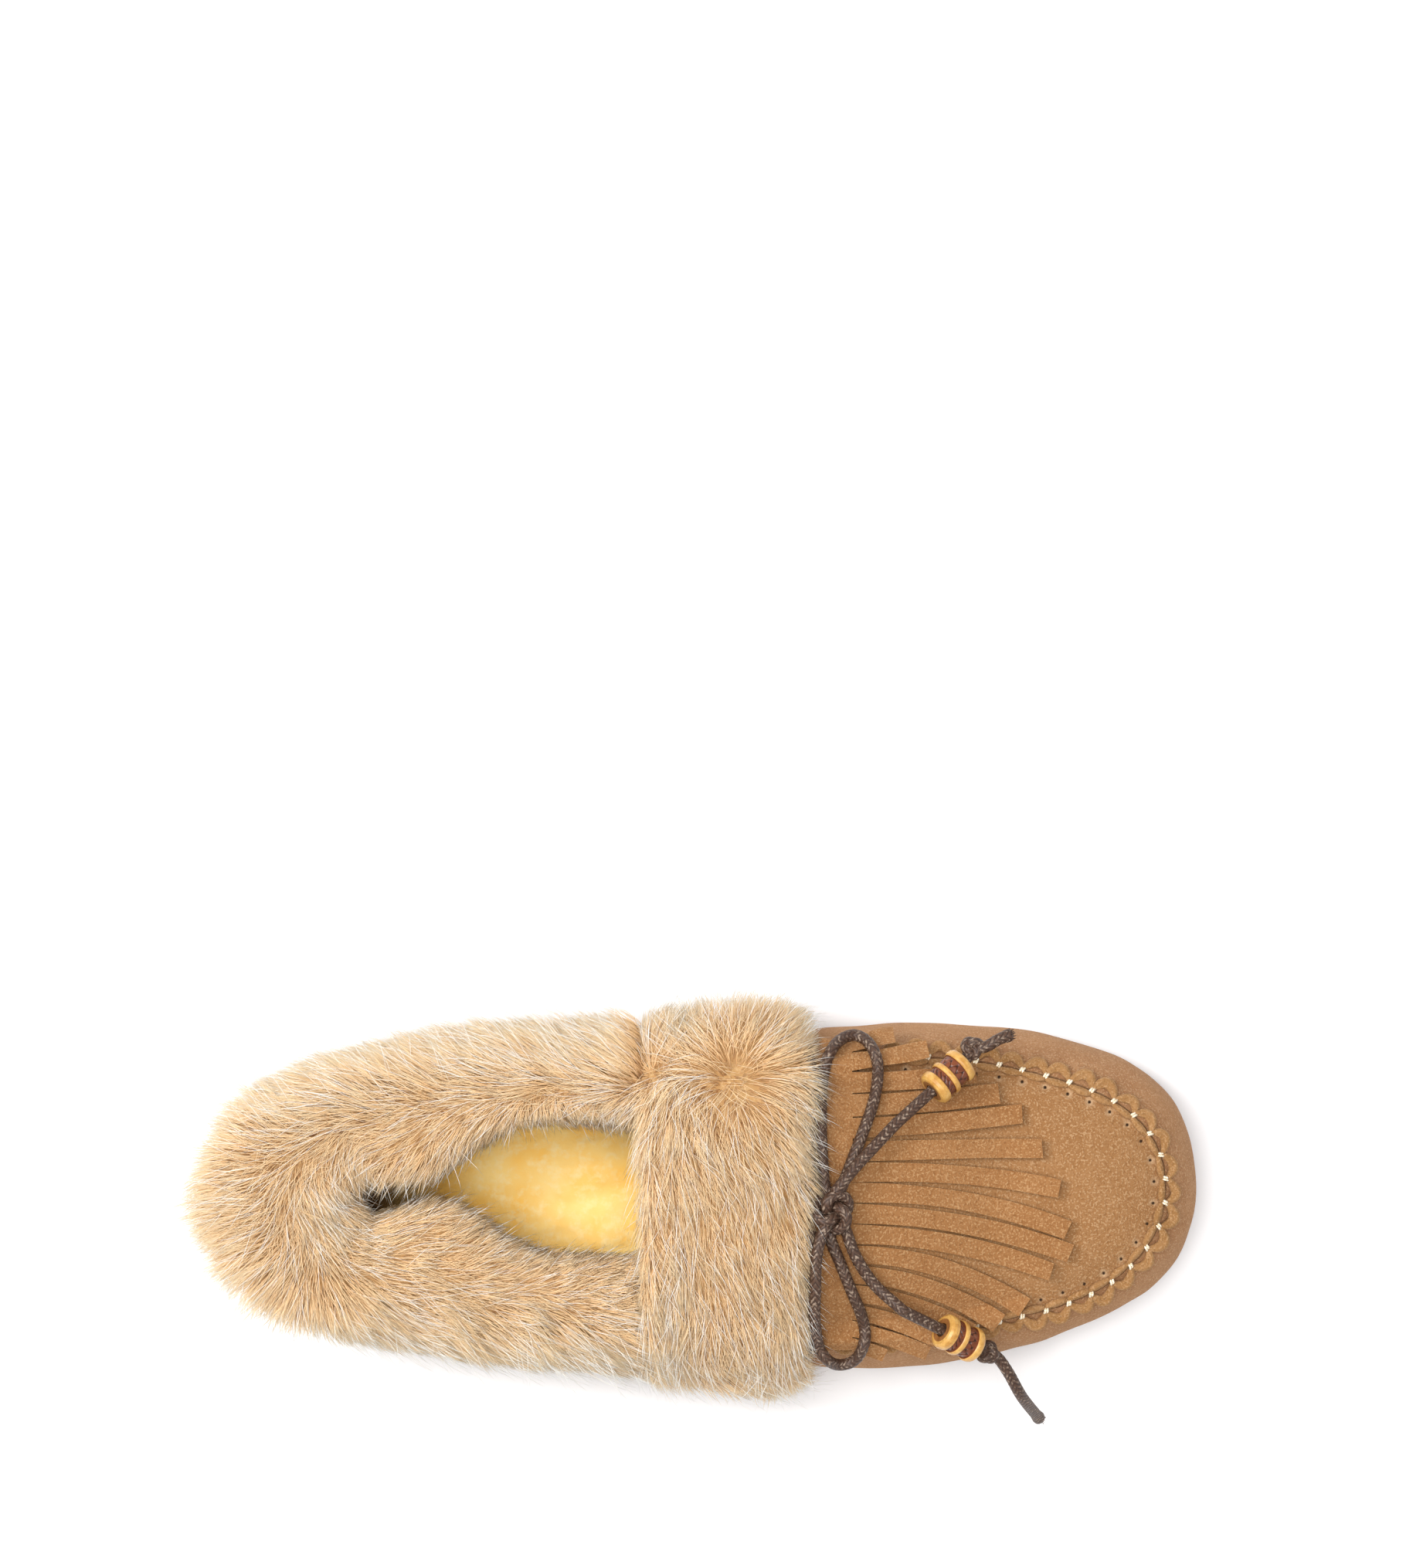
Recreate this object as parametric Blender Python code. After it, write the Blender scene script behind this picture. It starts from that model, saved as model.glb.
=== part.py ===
# Fur-trimmed suede moccasin, right foot.  Metres, +X to the toe, +Y to the
# medial side, +Z up, the origin on the outsole's flat underside.
import bpy
import bmesh
import math
import numpy as np

for ob in list(bpy.data.objects):
    bpy.data.objects.remove(ob, do_unlink=True)

# ------------------------------------------------------------------ sizes
LENGTH_SCALE = 1.0          # stretches the shoe along X
WIDTH_SCALE = 1.0           # stretches the shoe along Y
HEIGHT_SCALE = 1.0          # raises the upper above the sole
SOLE_THICK = 0.0050         # outsole sheet
SUEDE_THICK = 0.0018        # upper suede
LINING_THICK = 0.0013       # lining sheets
GAP = 0.0003                # clearance between layers
SOLE_INSET = 0.0024         # outsole edge inside the upper's widest line
TUCK = 0.0035               # how far the wall tucks in at the sole
WIDE_Z = 0.0160             # height of the widest line
BOARD_THICK = 0.0020        # insole board
PAD_THICK = 0.0060          # shearling insole
CORD_R = 0.0015             # round cord
FLAP_THICK = 0.0013         # kiltie suede
FLAP_OFF = 0.0004           # kiltie's gap over the plug
LACING_HALF_H = 0.0009      # seam lacing, half height
LACING_HALF_W = 0.0017      # seam lacing, half width
STITCH = 0.0062             # stitch spacing of the moccasin seam
THREAD_R = 0.00036
CUFF_OUT = 0.0118           # fur cuff, reach outside the wall
CUFF_IN = 0.0150            # fur cuff, reach inside the wall
CUFF_RISE = 0.0120          # fur cuff, rise over the topline
CUFF_DROP = 0.0320          # fur cuff, drop outside
BEAD_R = 0.00475
BEAD_LEN = 0.0117
BEAD_BORE = 0.0019          # bore radius
SLIDE = 0.0120              # free travel of a bead on its tail
KNOT_R = 0.0031             # stopper knots

X_HEEL_C = -0.085 * LENGTH_SCALE   # ends of the spine
X_TOE_C = 0.085 * LENGTH_SCALE
X_MOUTH = -0.0105 * LENGTH_SCALE   # front edge of the foot opening
X_JOIN = 0.0150 * LENGTH_SCALE     # side seam, toe wrap to quarters
EXP_N = 2.6                        # roundness of the cross-section
EXP_M = 2.2


# ------------------------------------------------------------ small curves
def spline(table, closed=False, per=12):
    """Catmull-Rom curve through the rows of a table."""
    p = np.array(table, float)
    n = len(p)
    out = []
    last = n if closed else n - 1
    for i in range(last):
        a = p[(i - 1) % n] if (closed or i > 0) else 2 * p[0] - p[1]
        b = p[i]
        c = p[(i + 1) % n]
        d = p[(i + 2) % n] if (closed or i + 2 < n) else 2 * p[-1] - p[-2]
        for k in range(per):
            t = k / per
            out.append(0.5 * ((2 * b) + (c - a) * t + (2 * a - 5 * b + 4 * c - d) * t * t
                              + (3 * b - a - 3 * c + d) * t ** 3))
    if not closed:
        out.append(p[-1])
    return np.array(out)


def table_value(table, x):
    p = spline(table, per=16)
    return float(np.interp(x, p[:, 0], p[:, 1]))


def smooth(t):
    t = min(1.0, max(0.0, t))
    return t * t * (3 - 2 * t)


def resample(pts, n):
    pts = np.array(pts, float)
    d = np.concatenate([[0], np.cumsum(np.linalg.norm(np.diff(pts, axis=0), axis=1))])
    s = np.linspace(0, d[-1], n)
    return np.stack([np.interp(s, d, pts[:, k]) for k in range(pts.shape[1])], 1)


# ------------------------------------------------------------- the outline
def scaled(rows):
    return [(x * LENGTH_SCALE, y * WIDTH_SCALE) for x, y in rows]


OUTLINE = scaled([
    (-.1195, .0003), (-.1160, .0105), (-.1093, .0185), (-.0973, .0245), (-.0852, .0278),
    (-.0611, .0330), (-.0370, .0355), (-.0129, .0385), (.0052, .0410), (.0173, .0425),
    (.0354, .0434), (.0595, .0444), (.0836, .0430), (.0957, .0406), (.1077, .0368),
    (.1138, .0340), (.1198, .0297), (.1258, .0228), (.1297, .0130), (.1310, .0030),
    (.1300, -.0080), (.1262, -.0172), (.1198, -.0245), (.1138, -.0287), (.1077, -.0322),
    (.0957, -.0372), (.0836, -.0412), (.0595, -.0456), (.0354, -.0460), (.0173, -.0440),
    (.0052, -.0418), (-.0129, -.0385), (-.0370, -.0340), (-.0611, -.0305),
    (-.0852, -.0258), (-.0973, -.0225), (-.1093, -.0165), (-.1160, -.0095)])
SEAM = scaled([
    (-.0200, .0300), (-.0050, .0325), (.0100, .0345), (.0300, .0358), (.0510, .0360),
    (.0640, .0356), (.0762, .0342), (.0886, .0316), (.1000, .0282), (.1090, .0240),
    (.1155, .0185), (.1198, .0115), (.1214, .0035), (.1206, -.0045), (.1172, -.0120),
    (.1110, -.0190), (.1035, -.0243), (.0930, -.0285), (.0848, -.0306), (.0740, -.0330),
    (.0600, -.0350), (.0450, -.0362), (.0300, -.0362), (.0100, -.0350), (-.0050, -.0328),
    (-.0200, -.0300)])
RIDGE = [(x * LENGTH_SCALE, SOLE_THICK + (z - SOLE_THICK) * HEIGHT_SCALE) for x, z in [
    (-.1300, .1500), (-.0850, .1500), (-.0620, .1420), (-.0430, .1120), (-.0270, .0870),
    (-.0105, .0735), (.0050, .0680), (.0200, .0632), (.0400, .0572), (.0600, .0508),
    (.0750, .0455), (.0850, .0437), (.1000, .0434)]]
TOPLINE = [(x * LENGTH_SCALE, SOLE_THICK + (z - SOLE_THICK) * HEIGHT_SCALE) for x, z in [
    (-.1250, .0632), (-.1150, .0625), (-.1000, .0600), (-.0800, .0565), (-.0600, .0550),
    (-.0350, .0552), (-.0105, .0562)]]
CENTRE = scaled([(-.130, .0010), (-.085, .0010), (-.060, .0012), (-.030, .0004), (.000, -.0004),
                 (.030, -.0010), (.060, -.0004), (.085, .0010), (.100, .0010)])

OUT_P = spline(OUTLINE, closed=True, per=14)
SEAM_P = spline(SEAM, per=14)
RIDGE_P = spline(RIDGE, per=16)
TOP_P = spline(TOPLINE, per=16)
CEN_P = spline(CENTRE, per=16)


def centre_y(x):
    return float(np.interp(x, CEN_P[:, 0], CEN_P[:, 1]))


def ridge_z(x):
    return float(np.interp(x, RIDGE_P[:, 0], RIDGE_P[:, 1]))


def ray_hit(poly, c, d, closed):
    """Furthest crossing of the ray c + t d with a plan polyline."""
    a = poly
    b = np.roll(poly, -1, axis=0)
    if not closed:
        a, b = poly[:-1], poly[1:]
    e = b - a
    det = d[0] * -e[:, 1] + d[1] * e[:, 0]
    det = np.where(np.abs(det) < 1e-15, 1e-15, det)
    r = a - np.array(c)
    t = (r[:, 0] * -e[:, 1] + r[:, 1] * e[:, 0]) / det
    u = (d[0] * r[:, 1] - d[1] * r[:, 0]) / det
    ok = (u >= -1e-9) & (u <= 1 + 1e-9) & (t > 0)
    return float(t[ok].max()) if ok.any() else None


def station(s):
    """Plan centre and direction of a station; s runs 0..6 from the heel's
    back along the medial side (1..2), round the toe (2..4), along the
    lateral side (4..5) and back to the heel."""
    s = s % 6.0
    if s < 1:
        a = math.pi - s * math.pi / 2
        x = X_HEEL_C
    elif s <= 2:
        return (X_HEEL_C + (s - 1) * (X_TOE_C - X_HEEL_C)), (0.0, 1.0)
    elif s < 4:
        a = math.pi / 2 - (s - 2) * math.pi / 2
        x = X_TOE_C
    elif s <= 5:
        return (X_TOE_C - (s - 4) * (X_TOE_C - X_HEEL_C)), (0.0, -1.0)
    else:
        a = -math.pi / 2 - (s - 5) * math.pi / 2
        x = X_HEEL_C
    return x, (math.cos(a), math.sin(a))


def side_s(x, side):
    """Station of a plan x on the medial (+1) or lateral (-1) side."""
    f = (x - X_HEEL_C) / (X_TOE_C - X_HEEL_C)
    return 1 + f if side > 0 else 5 - f


CACHE = {}


def reach(s):
    """Centre, direction, distance to the outline, distance to the seam."""
    key = round(s % 6.0, 7)
    if key not in CACHE:
        x, d = station(s)
        c = (x, centre_y(x))
        r = ray_hit(OUT_P, c, d, True)
        q = ray_hit(SEAM_P, c, d, False)
        CACHE[key] = (c, d, r, q if q else 0.8 * r)
    return CACHE[key]


def q_of_rho(rho):
    return math.acos(min(1.0, max(0.0, rho)) ** (EXP_N / 2)) / (math.pi / 2)


def q_of_z(s, z):
    c, d, r, m = reach(s)
    if z <= WIDE_Z:
        return (z - WIDE_Z) / (WIDE_Z - SOLE_THICK)
    f = (z - WIDE_Z) / (ridge_z(c[0]) - WIDE_Z)
    return math.asin(min(1.0, f) ** (EXP_M / 2)) / (math.pi / 2)


def surface(s, q):
    """Outer face of the upper: q -1..0 from the sole to the widest line,
    0..1 from there to the ridge."""
    c, d, r, m = reach(s)
    if q <= 0:
        z = WIDE_Z + q * (WIDE_Z - SOLE_THICK)
        rho = 1 - (TUCK / r) * q * q
    else:
        a = q * math.pi / 2
        rho = max(0.0, math.cos(a)) ** (2 / EXP_N)
        z = WIDE_Z + (ridge_z(c[0]) - WIDE_Z) * math.sin(a) ** (2 / EXP_M)
    return np.array([c[0] + d[0] * r * rho, c[1] + d[1] * r * rho, z])


def normal(s, q):
    if q > 0.999:
        x, e = reach(s)[0][0], 0.002
        zx = (ridge_z(x + e) - ridge_z(x - e)) / (2 * e)
        return np.array([-zx, 0.0, 1.0]) / math.hypot(zx, 1.0)
    e = 0.004
    qa, qb = max(-1.0, q - e), min(0.985, q + e)
    if q > 0.975:
        qa, qb = 0.96, 0.975
        q = 0.97
    du = surface(s + 0.01, q) - surface(s - 0.01, q)
    dv = surface(s, qb) - surface(s, qa)
    n = np.cross(dv, du)
    n /= np.linalg.norm(n)
    c, d, r, m = reach(s)
    if n[0] * d[0] + n[1] * d[1] < 0 and n[2] <= 0.2:
        n = -n
    if n[2] < -0.75:
        n = -n
    return n


def skin(s, q, off):
    return surface(s, q) + off * normal(s, q)


# -------------------------------------------------- the top as a height map
def plan_rho(x, y):
    if x <= X_TOE_C:
        side = 1 if y >= centre_y(x) else -1
        c, d, r, m = reach(side_s(max(x, X_HEEL_C), side))
        return abs(y - centre_y(x)) / r, x
    cy = centre_y(X_TOE_C)
    a = math.atan2(y - cy, x - X_TOE_C)
    s = 2 + (math.pi / 2 - a) / (math.pi / 2)
    c, d, r, m = reach(s)
    return math.hypot(x - X_TOE_C, y - cy) / r, X_TOE_C


def top_z(x, y):
    rho, xc = plan_rho(x, y)
    rho = min(rho, 0.9995)
    return WIDE_Z + (ridge_z(xc) - WIDE_Z) * (1 - rho ** EXP_N) ** (1 / EXP_M)


def top_normal(x, y):
    e = 0.0004
    zx = (top_z(x + e, y) - top_z(x - e, y)) / (2 * e)
    zy = (top_z(x, y + e) - top_z(x, y - e)) / (2 * e)
    n = np.array([-zx, -zy, 1.0])
    return n / np.linalg.norm(n)


def keep_in(x, y, limit):
    rho, xc = plan_rho(x, y)
    if rho > limit:
        cy = centre_y(xc)
        k = limit / rho
        return xc + (x - xc) * k if x > X_TOE_C else x, cy + (y - cy) * k
    return x, y


def drape(x, y, off, limit=0.975, lifted=True):
    """Point at a distance off over the top (over the seam lacing, where
    that lies below) whose plan place is (x, y)."""
    px, py = keep_in(x, y, limit)
    for _ in range(16):
        n = top_normal(px, py)
        o = off + (lift(px, py) if lifted else 0.0)
        dx, dy = x - (px + o * n[0]), y - (py + o * n[1])
        px, py = keep_in(px + 0.6 * dx, py + 0.6 * dy, limit)
    o = off + (lift(px, py) if lifted else 0.0)
    return np.array([px, py, top_z(px, py)]) + o * top_normal(px, py)


# ---------------------------------------------------------------- materials
# name prefix: (sRGB colour, roughness)
FINISH = {
    "outsole": ((0.30, 0.20, 0.15), 0.70), "insole_board": ((0.62, 0.50, 0.36), 0.80),
    "insole_pad": ((0.93, 0.75, 0.42), 0.95), "toe_wrap": ((0.71, 0.54, 0.38), 0.90),
    "medial_quarter": ((0.71, 0.54, 0.38), 0.90), "lateral_quarter": ((0.71, 0.54, 0.38), 0.90),
    "heel_strip": ((0.69, 0.52, 0.36), 0.90), "heel_counter": ((0.55, 0.45, 0.33), 0.80),
    "plug": ((0.76, 0.57, 0.38), 0.90), "vamp_lining": ((0.80, 0.68, 0.50), 0.90),
    "quarter_lining": ((0.80, 0.68, 0.50), 0.90), "seam_lacing": ((0.73, 0.53, 0.33), 0.85),
    "seam_thread": ((0.93, 0.88, 0.78), 0.60), "fur_cuff": ((0.88, 0.77, 0.59), 0.95),
    "kiltie_yoke": ((0.73, 0.53, 0.34), 0.90), "fringe_strip": ((0.74, 0.55, 0.36), 0.90),
    "lace_collar": ((0.30, 0.23, 0.20), 0.45), "bow_knot": ((0.30, 0.23, 0.20), 0.45),
    "loop": ((0.30, 0.23, 0.20), 0.45), "tail": ((0.30, 0.23, 0.20), 0.45),
    "stopper": ((0.28, 0.22, 0.19), 0.45), "cord_end": ((0.30, 0.23, 0.20), 0.55),
    "bead": ((0.84, 0.66, 0.38), 0.40)}


def finish_of(name):
    """The piece's own Principled material."""
    key = max((k for k in FINISH if name.startswith(k)), key=len)
    rgb, rough = FINISH[key]
    mat = bpy.data.materials.new(name)
    mat.use_nodes = True
    bsdf = mat.node_tree.nodes["Principled BSDF"]
    lin = [c / 12.92 if c <= 0.04045 else ((c + 0.055) / 1.055) ** 2.4 for c in rgb]
    bsdf.inputs["Base Color"].default_value = (*lin, 1.0)
    bsdf.inputs["Roughness"].default_value = rough
    bsdf.inputs["Metallic"].default_value = 0.0
    return mat


# ------------------------------------------------------------ mesh builders
PIVOTS = {}          # origin of each moving piece, on its joint's axis


def place(ob, name):
    """Link an object with its origin on its joint's axis, if it moves."""
    bpy.context.scene.collection.objects.link(ob)
    ob.data.materials.append(finish_of(name))
    if name in PIVOTS:
        ob.location = [float(c) for c in PIVOTS[name]]
    return ob


def cord(name, pts, radius, ends=None):
    """Round cord along a smooth path, as a bevelled poly curve with caps."""
    pivot = np.array(PIVOTS.get(name, (0, 0, 0)), float)
    cu = bpy.data.curves.new(name, "CURVE")
    cu.dimensions = "3D"
    sp = cu.splines.new("POLY")
    sp.points.add(len(pts) - 1)
    for i, p in enumerate(pts):
        sp.points[i].co = (*[float(c) for c in np.array(p) - pivot], 1.0)
        sp.points[i].radius = 1.0
    if ends:
        for k, r in enumerate(ends):
            sp.points[len(pts) - len(ends) + k].radius = r
    cu.bevel_depth = radius
    cu.bevel_resolution = 2
    cu.resolution_u = 1
    cu.render_resolution_u = 0
    cu.use_fill_caps = True
    return place(bpy.data.objects.new(name, cu), name)


def solid(name, verts, faces):
    me = bpy.data.meshes.new(name)
    pivot = np.array(PIVOTS.get(name, (0, 0, 0)), float)
    verts = [np.array(v, float) - pivot for v in verts]
    key = {}
    new = []
    ids = []
    for v in verts:
        k = (round(v[0] * 1e7), round(v[1] * 1e7), round(v[2] * 1e7))
        if k not in key:
            key[k] = len(new)
            new.append(tuple(float(c) for c in v))
        ids.append(key[k])
    out = []
    for f in faces:
        g = []
        for i in f:
            j = ids[i]
            if not g or (g[-1] != j and j not in g):
                g.append(j)
        if len(g) > 2:
            out.append(g)
    me.from_pydata(new, [], out)
    bm = bmesh.new()
    bm.from_mesh(me)
    bmesh.ops.triangulate(bm, faces=[f for f in bm.faces if len(f.verts) > 3])
    bmesh.ops.recalc_face_normals(bm, faces=bm.faces)
    if bm.calc_volume(signed=True) < 0:
        bmesh.ops.reverse_faces(bm, faces=bm.faces)
    bm.to_mesh(me)
    bm.free()
    me.shade_smooth()
    me.set_sharp_from_angle(angle=math.radians(38))
    return place(bpy.data.objects.new(name, me), name)


def shell(name, outer, inner, wrap=False):
    """Closed plate between two grids of the same shape; coinciding points
    of the outer grid are one point in both."""
    nu, nv = len(outer), len(outer[0])
    key = {}
    vo, vi = [], []
    ids = [[0] * nv for _ in range(nu)]
    for i in range(nu):
        for j in range(nv):
            p = outer[i][j]
            k = tuple(int(round(c * 1e6 + 0.137)) for c in p)
            if k not in key:
                key[k] = len(vo)
                vo.append(p)
                vi.append(inner[i][j])
            ids[i][j] = key[k]
    sheet = []
    for i in range(nu if wrap else nu - 1):
        for j in range(nv - 1):
            a, b = ids[i][j], ids[(i + 1) % nu][j]
            c, d = ids[(i + 1) % nu][j + 1], ids[i][j + 1]
            f = []
            for v in (a, b, c, d):
                if v not in f:
                    f.append(v)
            if len(f) > 2:
                sheet.append(f)
    n = len(vo)
    count = {}
    for f in sheet:
        for a, b in zip(f, f[1:] + f[:1]):
            count[(a, b)] = count.get((a, b), 0) + 1
    faces = list(sheet) + [[v + n for v in reversed(f)] for f in sheet]
    for (a, b) in count:
        if (b, a) not in count:
            faces.append([b, a, a + n, b + n])
    return solid(name, vo + vi, faces)


def frames(pts):
    pts = np.array(pts, float)
    tan = np.gradient(pts, axis=0)
    tan /= np.linalg.norm(tan, axis=1)[:, None]
    up = np.array([0, 0, 1.0])
    nor, bin_ = [], []
    prev = None
    for t in tan:
        if prev is None:
            n = up - t * np.dot(up, t)
            if np.linalg.norm(n) < 0.2:
                n = np.array([1.0, 0, 0]) - t * t[0]
        else:
            n = prev - t * np.dot(prev, t)
        n /= np.linalg.norm(n)
        prev = n
        nor.append(n)
        bin_.append(np.cross(t, n))
    return pts, tan, np.array(nor), np.array(bin_)


def tube(name, pts, radius, sides=8, nors=None, ratio=1.0):
    """Closed tube; radius may be one number or one for each point, and
    ratio widens it across the normal."""
    pts, tan, nor, bi = frames(pts)
    if nors is not None:
        nor = np.array([m - t * np.dot(m, t) for m, t in zip(nors, tan)])
        nor /= np.linalg.norm(nor, axis=1)[:, None]
        bi = np.cross(tan, nor)
    rad = np.full(len(pts), radius) if np.isscalar(radius) else np.array(radius)
    rat = np.full(len(pts), ratio) if np.isscalar(ratio) else np.array(ratio)
    verts, faces = [], []
    for p, n, b, r, w in zip(pts, nor, bi, rad, rat):
        for k in range(sides):
            a = 2 * math.pi * (k + 0.5) / sides
            verts.append(p + r * math.cos(a) * n + r * w * math.sin(a) * b)
    m = len(pts)
    for i in range(m - 1):
        for k in range(sides):
            a, b = i * sides + k, i * sides + (k + 1) % sides
            faces.append([a, b, b + sides, a + sides])
    faces.append(list(range(sides)))
    faces.append([(m - 1) * sides + k for k in reversed(range(sides))])
    return solid(name, verts, faces)


def lathe(name, centre, axis, profile, sides=20):
    """Ring turned about an axis from a closed profile of (along, radius)."""
    axis = np.array(axis, float) / np.linalg.norm(axis)
    a = np.cross(axis, [0, 0, 1.0])
    a /= np.linalg.norm(a)
    b = np.cross(axis, a)
    verts, faces = [], []
    m = len(profile)
    for k in range(sides):
        t = 2 * math.pi * k / sides
        r = math.cos(t) * a + math.sin(t) * b
        for (u, w) in profile:
            verts.append(np.array(centre) + axis * u + r * w)
    for k in range(sides):
        for j in range(m):
            p, q = k * m + j, k * m + (j + 1) % m
            r, s = ((k + 1) % sides) * m + (j + 1) % m, ((k + 1) % sides) * m + j
            faces.append([p, q, r, s])
    return solid(name, verts, faces)


def blob(name, centre, radii, axis=(1, 0, 0), rows=8, sides=12, lobes=0, depth=0.0):
    """Rounded knot, an ellipsoid with shallow slanting lobes."""
    t = np.array(axis, float) / np.linalg.norm(axis)
    n = np.array([0, 0, 1.0]) - t * t[2]
    n /= np.linalg.norm(n)
    b = np.cross(t, n)
    verts, faces = [np.array(centre) - t * radii[0]], []
    for i in range(1, rows):
        u = math.pi * i / rows
        for k in range(sides):
            a = 2 * math.pi * k / sides
            w = 1 - depth * (0.5 + 0.5 * math.cos(lobes * a + 2.5 * u)) * math.sin(u)
            verts.append(np.array(centre) - t * radii[0] * math.cos(u)
                         + w * math.sin(u) * (math.cos(a) * n * radii[2]
                                              + math.sin(a) * b * radii[1]))
    verts.append(np.array(centre) + t * radii[0])
    for k in range(sides):
        faces.append([0, 1 + k, 1 + (k + 1) % sides])
        z = 1 + (rows - 2) * sides
        faces.append([len(verts) - 1, z + (k + 1) % sides, z + k])
    for i in range(rows - 2):
        for k in range(sides):
            a, c = 1 + i * sides + k, 1 + i * sides + (k + 1) % sides
            faces.append([a, c, c + sides, a + sides])
    return solid(name, verts, faces)


# ----------------------------------------------------------------- stations
def run(a, b, n):
    return [a + (b - a) * i / (n - 1) for i in range(n)]


X_STATIONS = [x * LENGTH_SCALE for x in (
    -.0850, -.0735, -.0620, -.0505, -.0390, -.0285, -.0195, -.0155, -.0105, -.0040, .0050,
    .0150, .0250, .0350, .0450, .0550, .0650, .0750, .0850)]


def side_row(x0, x1, side):
    """Stations from x0 to x1 on one side, sharing the shoe's own stations."""
    lo, hi = min(x0, x1), max(x0, x1)
    xs = [lo] + [x for x in X_STATIONS if lo + 0.0012 < x < hi - 0.0012] + [hi]
    if x0 > x1:
        xs = xs[::-1]
    return [side_s(x, side) for x in xs]


TOE_FAN = run(2, 4, 17)
HEEL_A = run(0, 1, 8)
HEEL_B = run(5, 6, 8)


def ring_stations(x0):
    """From x0 on the medial side round the toe to x0 on the lateral."""
    med = side_row(x0, X_TOE_C, 1)
    lat = side_row(X_TOE_C, x0, -1)
    return med[:-1] + TOE_FAN + lat[1:]


def q_seam(s, shift):
    """Height parameter of the seam line, moved by shift across it (+ out)."""
    c, d, r, m = reach(s)
    return q_of_rho((m + shift) / r)


def q_top(s):
    c, d, r, m = reach(s)
    x = c[0] + d[0] * r
    return q_of_z(s, float(np.interp(x, TOP_P[:, 0], TOP_P[:, 1])))


def wall_top(s):
    """Upper edge of the wall: the seam in front, the topline behind."""
    c, d, r, m = reach(s)
    x = c[0] + d[0] * r
    if 1 <= s % 6 <= 5 and x > X_MOUTH:
        return q_seam(s, 0.0003)
    f = smooth((x - X_MOUTH + 0.010) / 0.010)
    return q_top(s) * (1 - f) + q_seam(s, 0.0003) * f


def levels(s, z_low, steps=None, plug=False):
    """Height parameters up the wall, at the same levels in every layer."""
    t = wall_top(s)
    q = [q_of_z(s, z_low), -0.5, 0.0]
    q += [t * k / 5 for k in range(1, (5 if steps is None else steps) + 1)]
    if plug:
        b = q_seam(s, -0.0003)
        q += [b + (1 - b) * k / 6 for k in range(1, 7)]
    return q


def grid(stations, rows_of, off):
    """Grid of surface points at the levels of each station."""
    return [[skin(s, q, off) for q in rows_of(s)] for s in stations]


# -------------------------------------------------------------------- parts
def flat_plate(name, inset, z0, z1, rings=3, crown=0.0):
    stations = HEEL_A[:-1] + side_row(X_HEEL_C, X_TOE_C, 1)[:-1] + TOE_FAN[:-1] \
        + side_row(X_TOE_C, X_HEEL_C, -1)[:-1] + HEEL_B[:-1]
    top, bot = [], []
    for s in stations:
        c, d, r, m = reach(s)
        rt, rb = [], []
        for j in range(rings + 1):
            k = 1 - j / rings
            rr = max(0.0, (r - inset)) * k
            edge = crown * (1 - k ** 4)
            p = np.array([c[0] + d[0] * rr, c[1] + d[1] * rr, 0])
            rt.append(p + np.array([0, 0, z1 - crown + edge]))
            rb.append(p + np.array([0, 0, z0]))
        top.append(rt)
        bot.append(rb)
    return shell(name, top, bot, wrap=True)


def build_sole():
    flat_plate("outsole", SOLE_INSET, 0.0, SOLE_THICK)
    b0 = SOLE_THICK + GAP
    flat_plate("insole_board", TUCK + SUEDE_THICK + 0.0009, b0, b0 + BOARD_THICK, rings=2)
    p0 = b0 + BOARD_THICK + GAP
    flat_plate("insole_pad", TUCK + SUEDE_THICK + 2 * LINING_THICK + 0.0026, p0,
               p0 + PAD_THICK, rings=3, crown=0.0018)


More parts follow.
